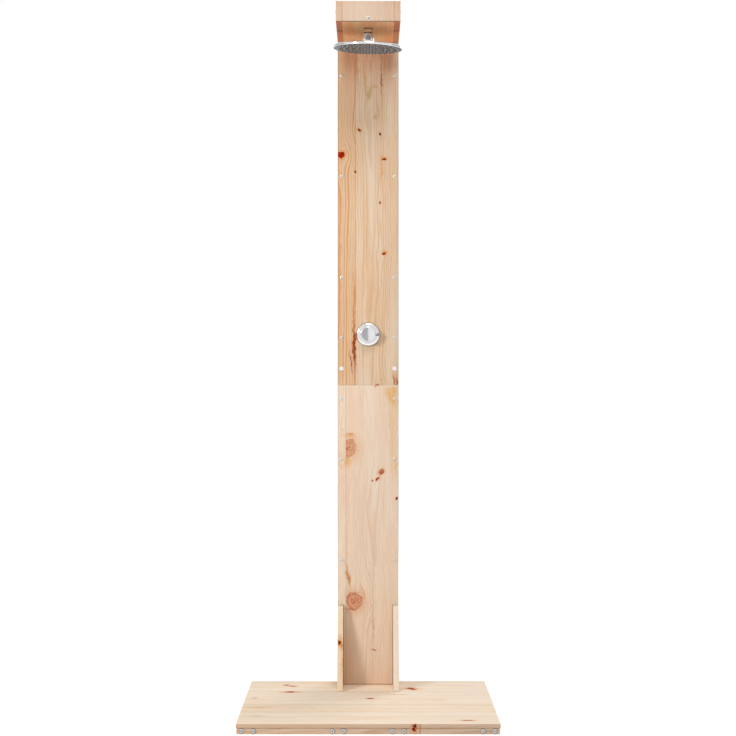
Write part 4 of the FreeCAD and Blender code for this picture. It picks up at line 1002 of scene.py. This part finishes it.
def make_finish(name, colour, metallic, roughness, spread=0.06, scale=40.0, stretch=(1, 1, 1),
                tint=0.08, bump=0.0, painted_shade=0.0):
    """A finish with slight blotches in its colour and its gloss, and painted shade where a piece's vertices
    carry it.
    """
    material, tree, shader = new_material(name)
    mapping = tree.nodes.new("ShaderNodeMapping")
    mapping.inputs["Scale"].default_value = stretch
    tree.links.new(tree.nodes.new("ShaderNodeTexCoord").outputs["Object"], mapping.inputs[0])
    blotches = noise(tree, mapping.outputs[0], 4.0, 0.6, scale)
    darker = tuple(c * (1 - tint) for c in colour)
    tone = blend_colour(tree, rise(tree, blotches, 0.3, 0.7), (*darker, 1), (*colour, 1))
    if painted_shade:
        painted_darkness = tree.nodes.new("ShaderNodeAttribute")
        painted_darkness.attribute_name = "painted_shade"
        tone = blend_colour(tree, times(tree, painted_darkness.outputs["Fac"], painted_shade), tone, PAINTED_SHADE_COLOUR)
    tree.links.new(tone, shader.inputs["Base Color"])
    gloss = rise(tree, blotches, 0.3, 0.7, max(roughness - spread, 0.0), roughness + spread)
    tree.links.new(gloss, shader.inputs["Roughness"])
    shader.inputs["Metallic"].default_value = metallic
    if bump:
        bumps(tree, shader, noise(tree, mapping.outputs[0], 2.0, 0.6, scale * 12), bump, 0.0003)
    return material


print("Finishes can be made")

# %% [markdown]
# Each finish is then made once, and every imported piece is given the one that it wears. A piece that
# is made again further down takes its finish from the same list.

# %% Finishes and who wears them
finishes = {
    "chrome": make_finish("chrome", (0.74, 0.75, 0.76), 1.0, 0.06, 0.02, 22.0, painted_shade=0.92),
    "satin": make_finish("satin_chrome", (0.88, 0.91, 0.93), 0.70, 0.08, 0.02, 22.0, painted_shade=0.92),
    "zinc": make_finish("zinc_steel", (0.56, 0.55, 0.53), 1.0, 0.40, 0.10, 260.0, bump=0.15, painted_shade=0.97),
    "brass": make_finish("brass", (0.70, 0.50, 0.22), 1.0, 0.26, 0.10, 60.0, bump=0.08),
    "pipe": make_finish("steel_pipe", (0.58, 0.59, 0.61), 1.0, 0.28, 0.08, 50.0, (1, 1, 0.05), bump=0.12),
    "cap": make_finish("white_plastic", (0.84, 0.84, 0.82), 0.0, 0.42, 0.06, 160.0, tint=0.05, bump=0.1),
    "liner": make_finish("liner_plastic", (0.80, 0.79, 0.74), 0.0, 0.38, 0.06, 120.0),
    "rubber": make_finish("rubber", (0.030, 0.030, 0.032), 0.0, 0.66, 0.08, 200.0, tint=0.25, bump=0.4),
    "face": make_finish("face_plastic", (0.036, 0.044, 0.056), 0.0, 0.34, 0.08, 90.0, tint=0.15, bump=0.1),
    "nozzle": make_finish("nozzle_rubber", (0.42, 0.45, 0.48), 0.0, 0.52, 0.06, 300.0, tint=0.12, bump=0.2),
}
wearers = {
    "chrome": ["valve_plate", "valve_knob", "drop_arm", "head_shell"],
    "satin": ["dome_nut"],
    "zinc": ["wood_screws", "deck_screws", "connector_screws", "pipe_clips"],
    "brass": ["valve_body", "valve_plug", "valve_gland", "valve_nut", "inlet_nipple", "pipe_nuts",
              "arm_elbow", "ball_stub"],
    "pipe": ["feed_pipe", "riser_pipe"],
    "cap": ["connector_caps"],
    "liner": ["ball_ring", "ball_cup"],
    "rubber": ["valve_washer"],
    "face": ["face_plate"],
    "nozzle": ["nozzle_mat"],
}
for finish, names in wearers.items():
    for name in names:
        wear(nodes[name], finishes[finish])
print(sum(map(len, wearers.values())), "pieces of metal, plastic and rubber have their finish")

# %% [markdown]
# Making pieces by hand
#
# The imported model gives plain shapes, and the pieces that a viewer sees up close are made again here
# with their edges and recesses. Each starts as a primitive and is shaped in edit mode. The first
# helpers do what every piece needs: start with nothing selected, choose edges or vertices by their
# place, and settle the finished piece on the body that it moves with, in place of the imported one.

# %% Helpers for pieces
def start_afresh(piece=None):
    """Back to object mode with nothing selected, or with one piece ready for the next step."""
    if bpy.context.object and bpy.context.object.mode != "OBJECT":
        bpy.ops.object.mode_set(mode="OBJECT")
    bpy.ops.object.select_all(action="DESELECT")
    if piece:
        piece.select_set(True)
        bpy.context.view_layer.objects.active = piece


def keep_place():
    """Puts the chosen piece's place, turn and size in its mesh, and leaves the object at the origin."""
    bpy.ops.object.transform_apply(location=True, rotation=True, scale=True)
    return bpy.context.object


def choose(piece, kind, test):
    """In edit mode, selects the edges whose middle, or the vertices whose place, passes a test."""
    mesh = bmesh.from_edit_mesh(piece.data)
    bpy.ops.mesh.select_all(action="DESELECT")
    bpy.ops.mesh.select_mode(type={"edges": "EDGE", "verts": "VERT"}[kind])
    if kind == "verts":
        for vert in mesh.verts:
            vert.select_set(test(vert.co))
    else:
        for edge in mesh.edges:
            a, b = (vert.co for vert in edge.verts)
            edge.select_set(test((a + b) / 2, b - a))
    mesh.select_flush_mode()
    bmesh.update_edit_mesh(piece.data)


def settle(piece, name, body, material, slot_name, *stands_for, place=Matrix.Identity(4), smooth=35):
    """Names a finished piece, puts its place in its mesh and hands it to its body."""
    start_afresh(piece)
    piece.name = name
    piece.data.name = name
    keep_place()
    piece.data.transform(place)
    bpy.ops.object.shade_smooth_by_angle(angle=math.radians(smooth))
    wear(piece, material)
    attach(piece, body)
    if stands_for:
        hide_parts(*stands_for)


print("Helpers for pieces are ready")

# %% [markdown]
# Blocks and rods are the stock that most pieces are cut from. They are joined to each other, cut out
# of each other and copied, and a modifier is applied as soon as it is set.

# %% Helpers for stock
def new_block(low, high, turn=0):
    """A cube stretched between two corners, turned about its upright in degrees."""
    low, high = Vector(low), Vector(high)
    start_afresh()
    bpy.ops.mesh.primitive_cube_add(size=1.0, location=(low + high) / 2,
                                    rotation=(0, 0, math.radians(turn)))
    bpy.context.object.scale = high - low
    return keep_place()


def new_rod(radius, depth, place, sides=48, tilt=0, turn=0):
    """A cylinder, or with few sides a prism, tilted about X and turned about Z in degrees."""
    start_afresh()
    bpy.ops.mesh.primitive_cylinder_add(vertices=sides, radius=radius, depth=depth, location=place,
                                        rotation=(math.radians(tilt), 0, math.radians(turn)))
    return keep_place()


def modify(piece, kind, **settings):
    """Adds a modifier, sets it and applies it."""
    start_afresh(piece)
    modifier = piece.modifiers.new(kind.lower(), kind)
    for label, value in settings.items():
        setattr(modifier, label, value)
    bpy.ops.object.modifier_apply(modifier=modifier.name)


def combine(piece, other, operation="DIFFERENCE"):
    """Cuts another piece out of this one, or joins it on."""
    modify(piece, "BOOLEAN", operation=operation, solver="EXACT", object=other)
    bpy.data.objects.remove(other)


def join_up(pieces):
    """Joins several pieces into the first."""
    start_afresh()
    for piece in pieces:
        piece.select_set(True)
    bpy.context.view_layer.objects.active = pieces[0]
    bpy.ops.object.join()
    return bpy.context.object


def copy_to(piece, place):
    """A copy with its own mesh, at a place."""
    twin = piece.copy()
    twin.data = piece.data.copy()
    twin.data.transform(place)
    scene.collection.objects.link(twin)
    return twin


print("Helpers for stock are ready")

# %% [markdown]
# Boards with eased edges
#
# A planed board never has a knife edge: the joiner takes the corner off so that it doesn't splinter,
# and that small slope catches the light along every seam of the deck. A block at the board's size is
# given a bevel all round in edit mode. The rear board gets its notch for the column, the upper panel
# its hole for the valve and the lower one its two grooves for the fins, each cut out with a second
# piece, which is quicker than cutting the outline by hand.

# %% Deck boards, panels and front rail
EASE = 0.0009
NOTCH_ROOM = 0.00015
VALVE_BORE = 0.0153
GROOVE_MIDDLE, GROOVE_HALF, GROOVE_DEPTH = 0.0924, 0.00405, 0.006
GROOVE_TOP = 0.2872
PAST = 0.01  # how far a cutter reaches past the board


def ease_edges(width=EASE):
    """In edit mode, takes the corner off every edge."""
    bpy.ops.mesh.select_all(action="SELECT")
    bpy.ops.mesh.bevel(offset=width, segments=2, profile=0.6, affect="EDGES")
    bpy.ops.object.mode_set(mode="OBJECT")


def eased_board(low, high, width=EASE):
    """A board between two corners with its edges taken off."""
    board = new_block(low, high)
    bpy.ops.object.mode_set(mode="EDIT")
    ease_edges(width)
    return board


def settle_board(board, node_name, slot_name):
    """Hands over a board that stands for a packed one and has its pine."""
    settle(board, f"eased_{node_name}", "post", nodes[node_name].data.materials[0], slot_name, node_name)


for number in deck_trunks:
    node_name = f"deck_board_{number}"
    low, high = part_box(node_name)
    board = eased_board(low, high)
    if number == max(deck_trunks):
        notch_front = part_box("lower_side_rail_left")[0].y
        notch_half = COLUMN_HALF + NOTCH_ROOM
        combine(board, new_block((-notch_half, notch_front, low.z - PAST),
                                 (notch_half, high.y + PAST, high.z + PAST)))
    settle_board(board, node_name, "deck_pine")

panel = eased_board(*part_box("upper_front_panel"))
combine(panel, new_rod(VALVE_BORE, 0.06, (0, PANEL_FACE + 0.009, VALVE.z), sides=64, tilt=90))
settle_board(panel, "upper_front_panel", "upper_panel_pine")

low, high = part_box("lower_front_panel")
panel = eased_board(low, high)
for middle in (-GROOVE_MIDDLE, GROOVE_MIDDLE):
    combine(panel, new_block((middle - GROOVE_HALF, low.y - PAST, low.z - PAST),
                             (middle + GROOVE_HALF, PANEL_FACE + GROOVE_DEPTH, GROOVE_TOP)))
settle_board(panel, "lower_front_panel", "lower_panel_pine")

settle_board(eased_board(*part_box("front_rail")), "front_rail", "frame_pine")

# %% [markdown]
# Fins
#
# Each fin is a block whose front vertices are moved: low down they reach far forward, and at the top
# they draw back, which makes the taper. Its edges are then eased like those of the boards, and the
# tongue that is glued into the panel is a second, thinner board joined to it.

# %% Fins
FIN_TOP_DEPTH = 0.030
TOE_BEVEL = 0.003
TONGUE_HALF = 0.004
NEAR = 0.001
for side_name in ("left", "right"):
    low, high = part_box(f"fin_{side_name}")
    fin = new_block(low, (high.x, PANEL_FACE, high.z))
    bpy.ops.object.mode_set(mode="EDIT")
    choose(fin, "verts", lambda co: co.y < low.y + NEAR and co.z > high.z - NEAR)
    bpy.ops.transform.translate(value=(0, PANEL_FACE - FIN_TOP_DEPTH - low.y, 0))
    choose(fin, "edges", lambda co, way: co.y < low.y + NEAR and co.z < low.z + NEAR)
    bpy.ops.mesh.bevel(offset=TOE_BEVEL, segments=1)
    ease_edges()
    middle = (low.x + high.x) / 2
    tongue = eased_board((middle - TONGUE_HALF, PANEL_FACE - 0.002, low.z + 0.0005),
                         (middle + TONGUE_HALF, high.y, high.z - 0.012), 0.0004)
    settle_board(join_up([fin, tongue]), f"fin_{side_name}", "fin_pine")
print("Fins are shaped")

# %% [markdown]
# Turned pieces
#
# The screws, the valve's plate and knob and the parts of the rain head are round, as if turned on a
# lathe. A circle is drawn out ring by ring, each ring scaled to its radius, until the outline is
# closed. A helper also marks where painted shade darkens recesses and rims.

# %% Helpers for turned pieces
def turned(outline, segments=96, open_ring=False):
    """A round solid about the vertical through the origin, from (radius, height) points in
    millimetres. An open ring ends where it starts; any other outline gets a flat cap at both ends."""
    points = [(r / 1000, h / 1000) for r, h in outline]
    start_afresh()
    bpy.ops.mesh.primitive_circle_add(vertices=segments, radius=points[0][0],
                                      location=(0, 0, points[0][1]),
                                      fill_type="NOTHING" if open_ring else "NGON")
    piece = keep_place()
    bpy.ops.object.mode_set(mode="EDIT")
    bpy.ops.mesh.select_all(action="SELECT")
    bpy.ops.mesh.select_mode(type="EDGE")
    mesh = bmesh.from_edit_mesh(piece.data)
    for edge in mesh.edges:
        edge.select_set(edge.is_boundary or edge.is_wire)
    bmesh.update_edit_mesh(piece.data)
    radius, height = points[0]
    for next_radius, next_height in points[1:]:
        bpy.ops.mesh.extrude_region_move(TRANSFORM_OT_translate={"value": (0, 0, next_height - height)})
        scale = next_radius / radius
        bpy.ops.transform.resize(value=(scale, scale, 1), center_override=(0, 0, next_height))
        radius, height = next_radius, next_height
    if open_ring:
        bpy.ops.mesh.select_all(action="SELECT")
        bpy.ops.mesh.remove_doubles(threshold=1e-6)
    else:
        bpy.ops.mesh.edge_face_add()
    bpy.ops.mesh.select_all(action="SELECT")
    bpy.ops.mesh.normals_make_consistent(inside=False)
    bpy.ops.object.mode_set(mode="OBJECT")
    return piece


def mark_painted_shade(piece, test):
    """Writes how much painted shade each vertex gets, from 0 to 1. The test takes its radius, y and z in
    mm.
    """
    layer = piece.data.attributes.new("painted_shade", "FLOAT", "POINT")
    for vertex, painted_darkness in zip(piece.data.vertices, layer.data):
        x, y, z = (v * 1000 for v in vertex.co)
        painted_darkness.value = test(math.hypot(x, y), y, z)


def arc(radius, first, last, steps):
    """Points of an arc about the origin, between two angles from straight up."""
    angles = [math.radians(first + (last - first) * i / steps) for i in range(steps + 1)]
    return [(radius * math.sin(angle), radius * math.cos(angle)) for angle in angles]


print("Turned pieces can be made")

# %% [markdown]
# Cross-head screws
#
# The wood screws have raised heads with a cross recess, and those under the tray lie flush. One is
# turned, and a small pit and a cross of two thin blades are cut into its face. Its copies are put
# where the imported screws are, which are found from the corners of each loose piece of the packed
# mesh.

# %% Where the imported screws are
def loose_parts(mesh):
    """Lowest and highest corner of each unconnected part of a mesh, with near vertices merged."""
    copy = bmesh.new()
    copy.from_mesh(mesh)
    bmesh.ops.remove_doubles(copy, verts=copy.verts, dist=1e-6)
    seen, parts = set(), []
    for first in copy.verts:
        if first.index in seen:
            continue
        waiting, places = [first], []
        seen.add(first.index)
        while waiting:
            vert = waiting.pop()
            places.append(vert.co.copy())
            for other in (edge.other_vert(vert) for edge in vert.link_edges):
                if other.index not in seen:
                    seen.add(other.index)
                    waiting.append(other)
        parts.append((Vector(map(min, zip(*places))), Vector(map(max, zip(*places)))))
    copy.free()
    return parts


def seat_of(low, high, count):
    """Where a screw's face lies and which way it points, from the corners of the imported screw."""
    size, middle = high - low, (low + high) / 2
    way = max(range(3), key=lambda axis: size[axis])
    inward = Vector((0, 0, 0))
    inward[way] = -1 if way == 0 and middle.x > 0 else 1
    face = middle.copy()
    face[way] = low[way] if inward[way] > 0 else high[way]
    aim = (-inward).to_track_quat("Z", "Y").to_matrix().to_4x4()
    return Matrix.Translation(face) @ aim @ Matrix.Rotation(0.7 * count, 4, "Z")


print("Packed wood screws:", len(loose_parts(nodes["wood_screws"].data)))

# %% [markdown]
# The screw itself is small in the picture, but its bright rim and dark recess are what makes it read
# as a screw, so both are there, and painted shade darkens the recess and the foot of the rim.

# %% Cross-head screws
def cross_head_shade(crown):
    """Painted shade: dark in the recess and under the rim, and half as dark round both."""
    def how_shaded(r, _, z):
        if (r < 3.1 and abs(z - crown + 1.0) < 0.6) or (r > 5.5 and z < 0.6):
            return 1.0
        return 0.5 if r > 5.5 or r < 3.1 else 0.0
    return how_shaded


def cross_head_screw(length, crown):
    """Screw that points down -Z, with a head that stands up by its crown, and a cross recess."""
    head = [(5.6, 0.07), (5.75, 0.28), (5.6, 0.54), (5.2, 0.75), (4.6, 0.89), (3.9, 0.96), (3.2, 1.0)]
    screw = turned([(0.5, -length), (2.3, 6 - length), (2.3, -3.4), (4.4, -1.0)]
                   + [(r, z * crown) for r, z in head], segments=32)
    recess = (crown - 0.2) / 1000
    blade = Vector((0.0060, 0.0017, 0.0022))
    middle = Vector((0, 0, recess))
    combine(screw, new_rod(0.0021, blade.z, middle, sides=24))
    for turn in (0, 90):
        combine(screw, new_block(middle - blade / 2, middle + blade / 2, turn))
    mark_painted_shade(screw, cross_head_shade(crown))
    return screw


for node_name, length, crown in (("wood_screws", 47.7, 1.4), ("deck_screws", 26.0, 0.2)):
    model_screw = cross_head_screw(length, crown)
    corners = loose_parts(nodes[node_name].data)
    twins = [copy_to(model_screw, seat_of(low, high, count)) for count, (low, high) in enumerate(corners)]
    bpy.data.objects.remove(model_screw)
    new_name = {"wood_screws": "cross_head_screws", "deck_screws": "deck_cross_head_screws"}[node_name]
    settle(join_up(twins), new_name, "post", finishes["zinc"], "zinc_steel", node_name, smooth=30)
    print(new_name, len(twins))

# %% [markdown]
# Socket-head screws
#
# The tray's rail is held by pairs of heavier screws with flat round heads, a chamfered rim and a
# six-sided socket for a key. Their heads stand on the wood instead of in it.

# %% Socket-head screws in the tray's rail
HEAD_HEIGHT = 2.6


def socket_shade(r, _, z):
    """Painted shade: dark round the rim, and half as dark in the socket and on the chamfer."""
    if r > 6.9 and z > -0.1:
        return 1.0
    return 0.55 if (r < 3.3 and 0 < z < 1.5) or r > 6.3 else 0.0


def socket_screw(length):
    """Flat round head from z 0 up to its height, with its socket, and the shank below it."""
    screw = turned([
        (2.4, -length), (3.2, 1 - length), (3.2, 0.0), (7.0, 0.0), (7.2, 0.3), (7.2, 1.3), (6.95, 1.95),
        (6.4, 2.4), (5.8, HEAD_HEIGHT), (4.8, HEAD_HEIGHT), (4.0, HEAD_HEIGHT),
    ], segments=40)
    combine(screw, new_rod(0.0031, 0.004, (0, 0, HEAD_HEIGHT / 1000), sides=6))
    mark_painted_shade(screw, socket_shade)
    return screw


model_screw = socket_screw(50.0)
twins = []
for count, (low, high) in enumerate(loose_parts(nodes["connector_screws"].data)):
    seat = Vector(((low.x + high.x) / 2, low.y + HEAD_HEIGHT / 1000, (low.z + high.z) / 2))
    aim = Matrix.Rotation(math.radians(90), 4, "X") @ Matrix.Rotation(0.9 * count, 4, "Z")
    twins.append(copy_to(model_screw, Matrix.Translation(seat) @ aim))
bpy.data.objects.remove(model_screw)
settle(join_up(twins), "socket_head_screws", "post", finishes["zinc"], "zinc_steel", "connector_screws")
print("Socket-head screws:", len(twins))

# %% [markdown]
# Valve plate
#
# The plate is a thin pressed disc: a flat face that rolls over steeply to the wood, so that it ends
# in a dark line, deepened by painted shade round its edge. Both the plate and the knob are turned
# upright and then tipped to face the viewer.

# %% Valve plate
facing_viewer = (Matrix.Translation((VALVE.x, PANEL_FACE, VALVE.z))
                 @ Matrix.Rotation(math.radians(90), 4, "X"))
plate = turned([
    (15.05, 8.5), (33.0, 7.9), (36.4, 5.2), (38.5, 2.0), (38.5, 0.0), (40.0, 0.0), (40.0, 1.6),
    (39.7, 2.8), (39.0, 4.6), (38.0, 6.4), (36.9, 7.8), (35.6, 8.7), (34.0, 9.2), (32.0, 9.5),
    (29.0, 9.65), (22.0, 9.85), (15.05, 10.0), (15.05, 8.5),
], open_ring=True)
# painted shade round the plate's outer edge
mark_painted_shade(plate, lambda r, y, z: 0.9 if r > 39.8 else 0.6 if r > 39.5 else 0.15 if r > 38.9 else 0.0)
settle(plate, "pressed_valve_plate", "post", finishes["chrome"], "chrome", "valve_plate",
       place=facing_viewer)
print("Valve plate:", len(plate.data.polygons), "faces")

# %% [markdown]
# Knob and lever
#
# The knob is a hollow cylinder with a rounded rim and a flat face, and its lever is a bar with a
# round end. The outline can't reach the axis, because a ring can't be scaled to nothing and back, so
# it stops a hair short on both faces. The two tiny rings are then merged to a point and the edges
# between them are deleted. A ring close to the rim keeps the face's shading flat. The lever is a
# block and a rod, joined and bevelled.

# %% Knob and lever
AXIS_GAP = 0.4
FACE_HEIGHT, FACE_BACK = 39.6, 26.9
LEVER_HEIGHT = 0.0274
LEVER_SIZE = Vector((0.0104, 0.0094, 0.0070))
knob = turned([
    (5.05, FACE_BACK), (5.05, 10.9), (9.0, 10.9), (9.0, 30.9), (22.5, 30.9), (22.5, 10.9), (24.7, 10.9),
    (25.3, 11.3), (25.5, 12.0), (25.5, 14.0), (25.5, 36.6), (25.4, 37.6), (25.1, 38.5), (24.6, 39.2),
    (24.0, FACE_HEIGHT), (23.4, 39.7), (22.9, FACE_HEIGHT), (22.5, FACE_HEIGHT), (12.0, FACE_HEIGHT),
    (5.05, FACE_HEIGHT), (AXIS_GAP, FACE_HEIGHT), (AXIS_GAP, FACE_BACK), (5.05, FACE_BACK),
], open_ring=True)
start_afresh(knob)
bpy.ops.object.mode_set(mode="EDIT")
for on_top in (True, False):
    choose(knob, "verts", lambda co: math.hypot(co.x, co.y) < 0.0005 and (co.z > 0.035) == on_top)
    bpy.ops.mesh.merge(type="CENTER")
choose(knob, "edges", lambda co, way: math.hypot(co.x, co.y) < 0.0003 and abs(way.z) > 0.005)
bpy.ops.mesh.delete(type="EDGE")
bpy.ops.object.mode_set(mode="OBJECT")

lever_middle = Vector((0.0280, 0, LEVER_HEIGHT))
lever = new_block(lever_middle - LEVER_SIZE / 2, lever_middle + LEVER_SIZE / 2)
combine(lever, new_rod(LEVER_SIZE.y / 2, LEVER_SIZE.z, (0.0332, 0, LEVER_HEIGHT)), "UNION")
modify(lever, "BEVEL", width=0.0019, segments=3, limit_method="ANGLE", angle_limit=math.radians(40))
# painted shade along the lever's long edges, darkest along the lower one
mark_painted_shade(lever, lambda r, y, z: 1.0 if y < -3.0 else 0.7 if y > 3.0 else 0.0)
knob = join_up([knob, lever])
settle(knob, "lever_knob", "knob", finishes["chrome"], "chrome", "valve_knob", place=facing_viewer)
print("Knob:", len(knob.data.polygons), "faces")

# %% [markdown]
# Rain head: shell and domed nut
#
# The shell is a shallow crowned disc with a rounded rim, screwed into the domed nut that grips the
# ball. Both have a seat round the ball, drawn as an arc about its centre. The nut's mouth is wide
# enough for the neck in every position. The head hangs a touch out of level, as it does in the
# picture, so every piece of it is turned about the ball's centre by the same two small angles.

# %% Shell and domed nut
HANG_FORWARD, HANG_SIDEWAYS = 2.0, 1.55
SEAT_R = 15.3
hang = (Matrix.Translation(BALL) @ Matrix.Rotation(math.radians(HANG_FORWARD), 4, "X")
        @ Matrix.Rotation(math.radians(HANG_SIDEWAYS), 4, "Y"))
shell = turned([
    (6.4, -19.0), (6.4, -14.0), *arc(SEAT_R, 155.0, 101.6, 8), (17.2, -3.05), (17.2, -17.0),
    (24.0, -17.2), (24.4, -17.4), (40.0, -18.4), (60.0, -19.8), (80.0, -21.1), (96.0, -22.1),
    (105.0, -22.7), (108.2, -23.0), (109.8, -23.4), (111.2, -24.2), (112.1, -25.4), (112.5, -26.8),
    (112.5, -30.2), (112.2, -31.4), (111.5, -32.2), (110.5, -32.6), (109.6, -32.5), (109.15, -32.1),
    (109.15, -30.8), (104.15, -30.8), (104.15, -28.6), (28.0, -20.6), (6.4, -19.0),
], segments=128, open_ring=True)
settle(shell, "crowned_shell", "rain_head", finishes["chrome"], "chrome", "head_shell", place=hang)
dome = turned([
    (11.3, 10.4), (12.2, 13.4), (13.2, 16.0), (13.6, 16.4), (14.2, 16.2), (15.0, 15.2), (15.8, 13.4),
    (16.6, 10.8), (17.3, 7.8), (17.9, 4.4), (18.4, 0.8), (18.8, -3.0), (19.1, -7.0), (19.3, -11.0),
    (19.4, -13.0), (19.75, -14.0), (19.75, -16.3), (19.2, -17.0), (17.25, -17.0), (17.25, -3.0),
    (15.0, -3.0), *arc(SEAT_R, 101.3, 48.0, 12), (11.3, 10.4),
], open_ring=True)
settle(dome, "domed_ball_nut", "rain_head", finishes["satin"], "chrome", "dome_nut", place=hang)
print("Shell and nut:", len(shell.data.polygons), "and", len(dome.data.polygons), "faces")

# %% [markdown]
# Rain head: gasket and nozzles
#
# A thin rubber gasket closes the gap where the arm comes out of the soffit. The nozzles are soft
# rubber: one is turned, with a flange, a rounded tip and a hole, and copied to its rings, each with
# six more than the one inside it.

# %% Gasket and nozzles
GASKET_HALF, GASKET_HOLE_HALF = 0.0142, 0.0131
GASKET_LOW, GASKET_HIGH = 2.1808, 2.1829
NOZZLE_RINGS = 6
RING_STEP = 0.0194


def square_about_arm(half, low, high):
    """The two corners of an upright square bar about the arm."""
    return (-half, BALL.y - half, low), (half, BALL.y + half, high)


gasket = eased_board(*square_about_arm(GASKET_HALF, GASKET_LOW, GASKET_HIGH), 0.0005)
combine(gasket, new_block(*square_about_arm(GASKET_HOLE_HALF, GASKET_LOW - PAST, GASKET_HIGH + PAST)))
settle(gasket, "arm_gasket", "post", finishes["rubber"], "rubber")

nozzle = turned([
    (2.05, -28.6), (2.05, -32.5), (3.5, -32.6), (3.5, -32.9), (2.9, -33.2), (2.5, -34.0), (2.1, -34.9),
    (1.6, -35.2), (1.0, -35.2), (0.8, -34.6),
], segments=12)
twins = []
for ring in range(NOZZLE_RINGS):
    in_ring = max(6 * ring, 1)
    for step in range(in_ring):
        angle = 2 * math.pi * step / in_ring
        offset = Vector((math.cos(angle), math.sin(angle), 0)) * ring * RING_STEP
        twins.append(copy_to(nozzle, Matrix.Translation(offset)))
bpy.data.objects.remove(nozzle)
mat = turned([(104.0, -29.0), (104.0, -30.8)])
nozzles = join_up([mat, *twins])
settle(nozzles, "nozzle_field", "rain_head", finishes["nozzle"], "nozzle_rubber", "nozzle_mat", place=hang)
print("Rain head:", len(twins), "nozzles,", len(nozzles.data.polygons), "faces")

# %% [markdown]
# Hose inlet
#
# The inlet at the back is a brass nipple with a pipe thread, six flats for a spanner and a collar.
# The thread is a small triangle carried round and up by the Screw modifier, eight turns of it on a
# core that is a little thinner than the thread's crest.

# %% Inlet nipple with its thread
THREAD_PITCH, THREAD_TURNS = 0.0016, 8
inlet_low, inlet_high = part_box("inlet_nipple")
inlet_foot = Matrix.Translation(((inlet_low.x + inlet_high.x) / 2, VALVE.y, inlet_low.z))
core = turned([(6.0, 0.0), (9.0, 0.0), (9.5, 0.6), (9.5, 15.0), (6.0, 15.0), (6.0, 0.0)], segments=64,
              open_ring=True)
collar = turned([(7.05, 23.0), (7.05, 31.0), (9.6, 31.0), (10.0, 30.6), (10.0, 23.0), (7.05, 23.0)],
                segments=64, open_ring=True)
hexagon = new_rod(0.01386, 0.008, (0, 0, 0.019), sides=6, turn=90)
modify(hexagon, "BEVEL", width=0.0007, segments=2)
start_afresh()
bpy.ops.mesh.primitive_circle_add(vertices=3, radius=0.00085, location=(0.00985, 0, 0.0012),
                                  rotation=(math.radians(90), 0, 0))
thread = keep_place()
modify(thread, "SCREW", axis="Z", angle=math.radians(360), screw_offset=THREAD_PITCH,
       iterations=THREAD_TURNS, steps=32, render_steps=32, use_merge_vertices=True)
bpy.ops.object.mode_set(mode="EDIT")
bpy.ops.mesh.select_all(action="SELECT")
bpy.ops.mesh.normals_make_consistent(inside=False)
bpy.ops.object.mode_set(mode="OBJECT")
nipple = join_up([core, collar, hexagon, thread])
settle(nipple, "threaded_nipple", "post", finishes["brass"], "brass", "inlet_nipple", place=inlet_foot)
print("Threaded nipple:", len(nipple.data.polygons), "faces")
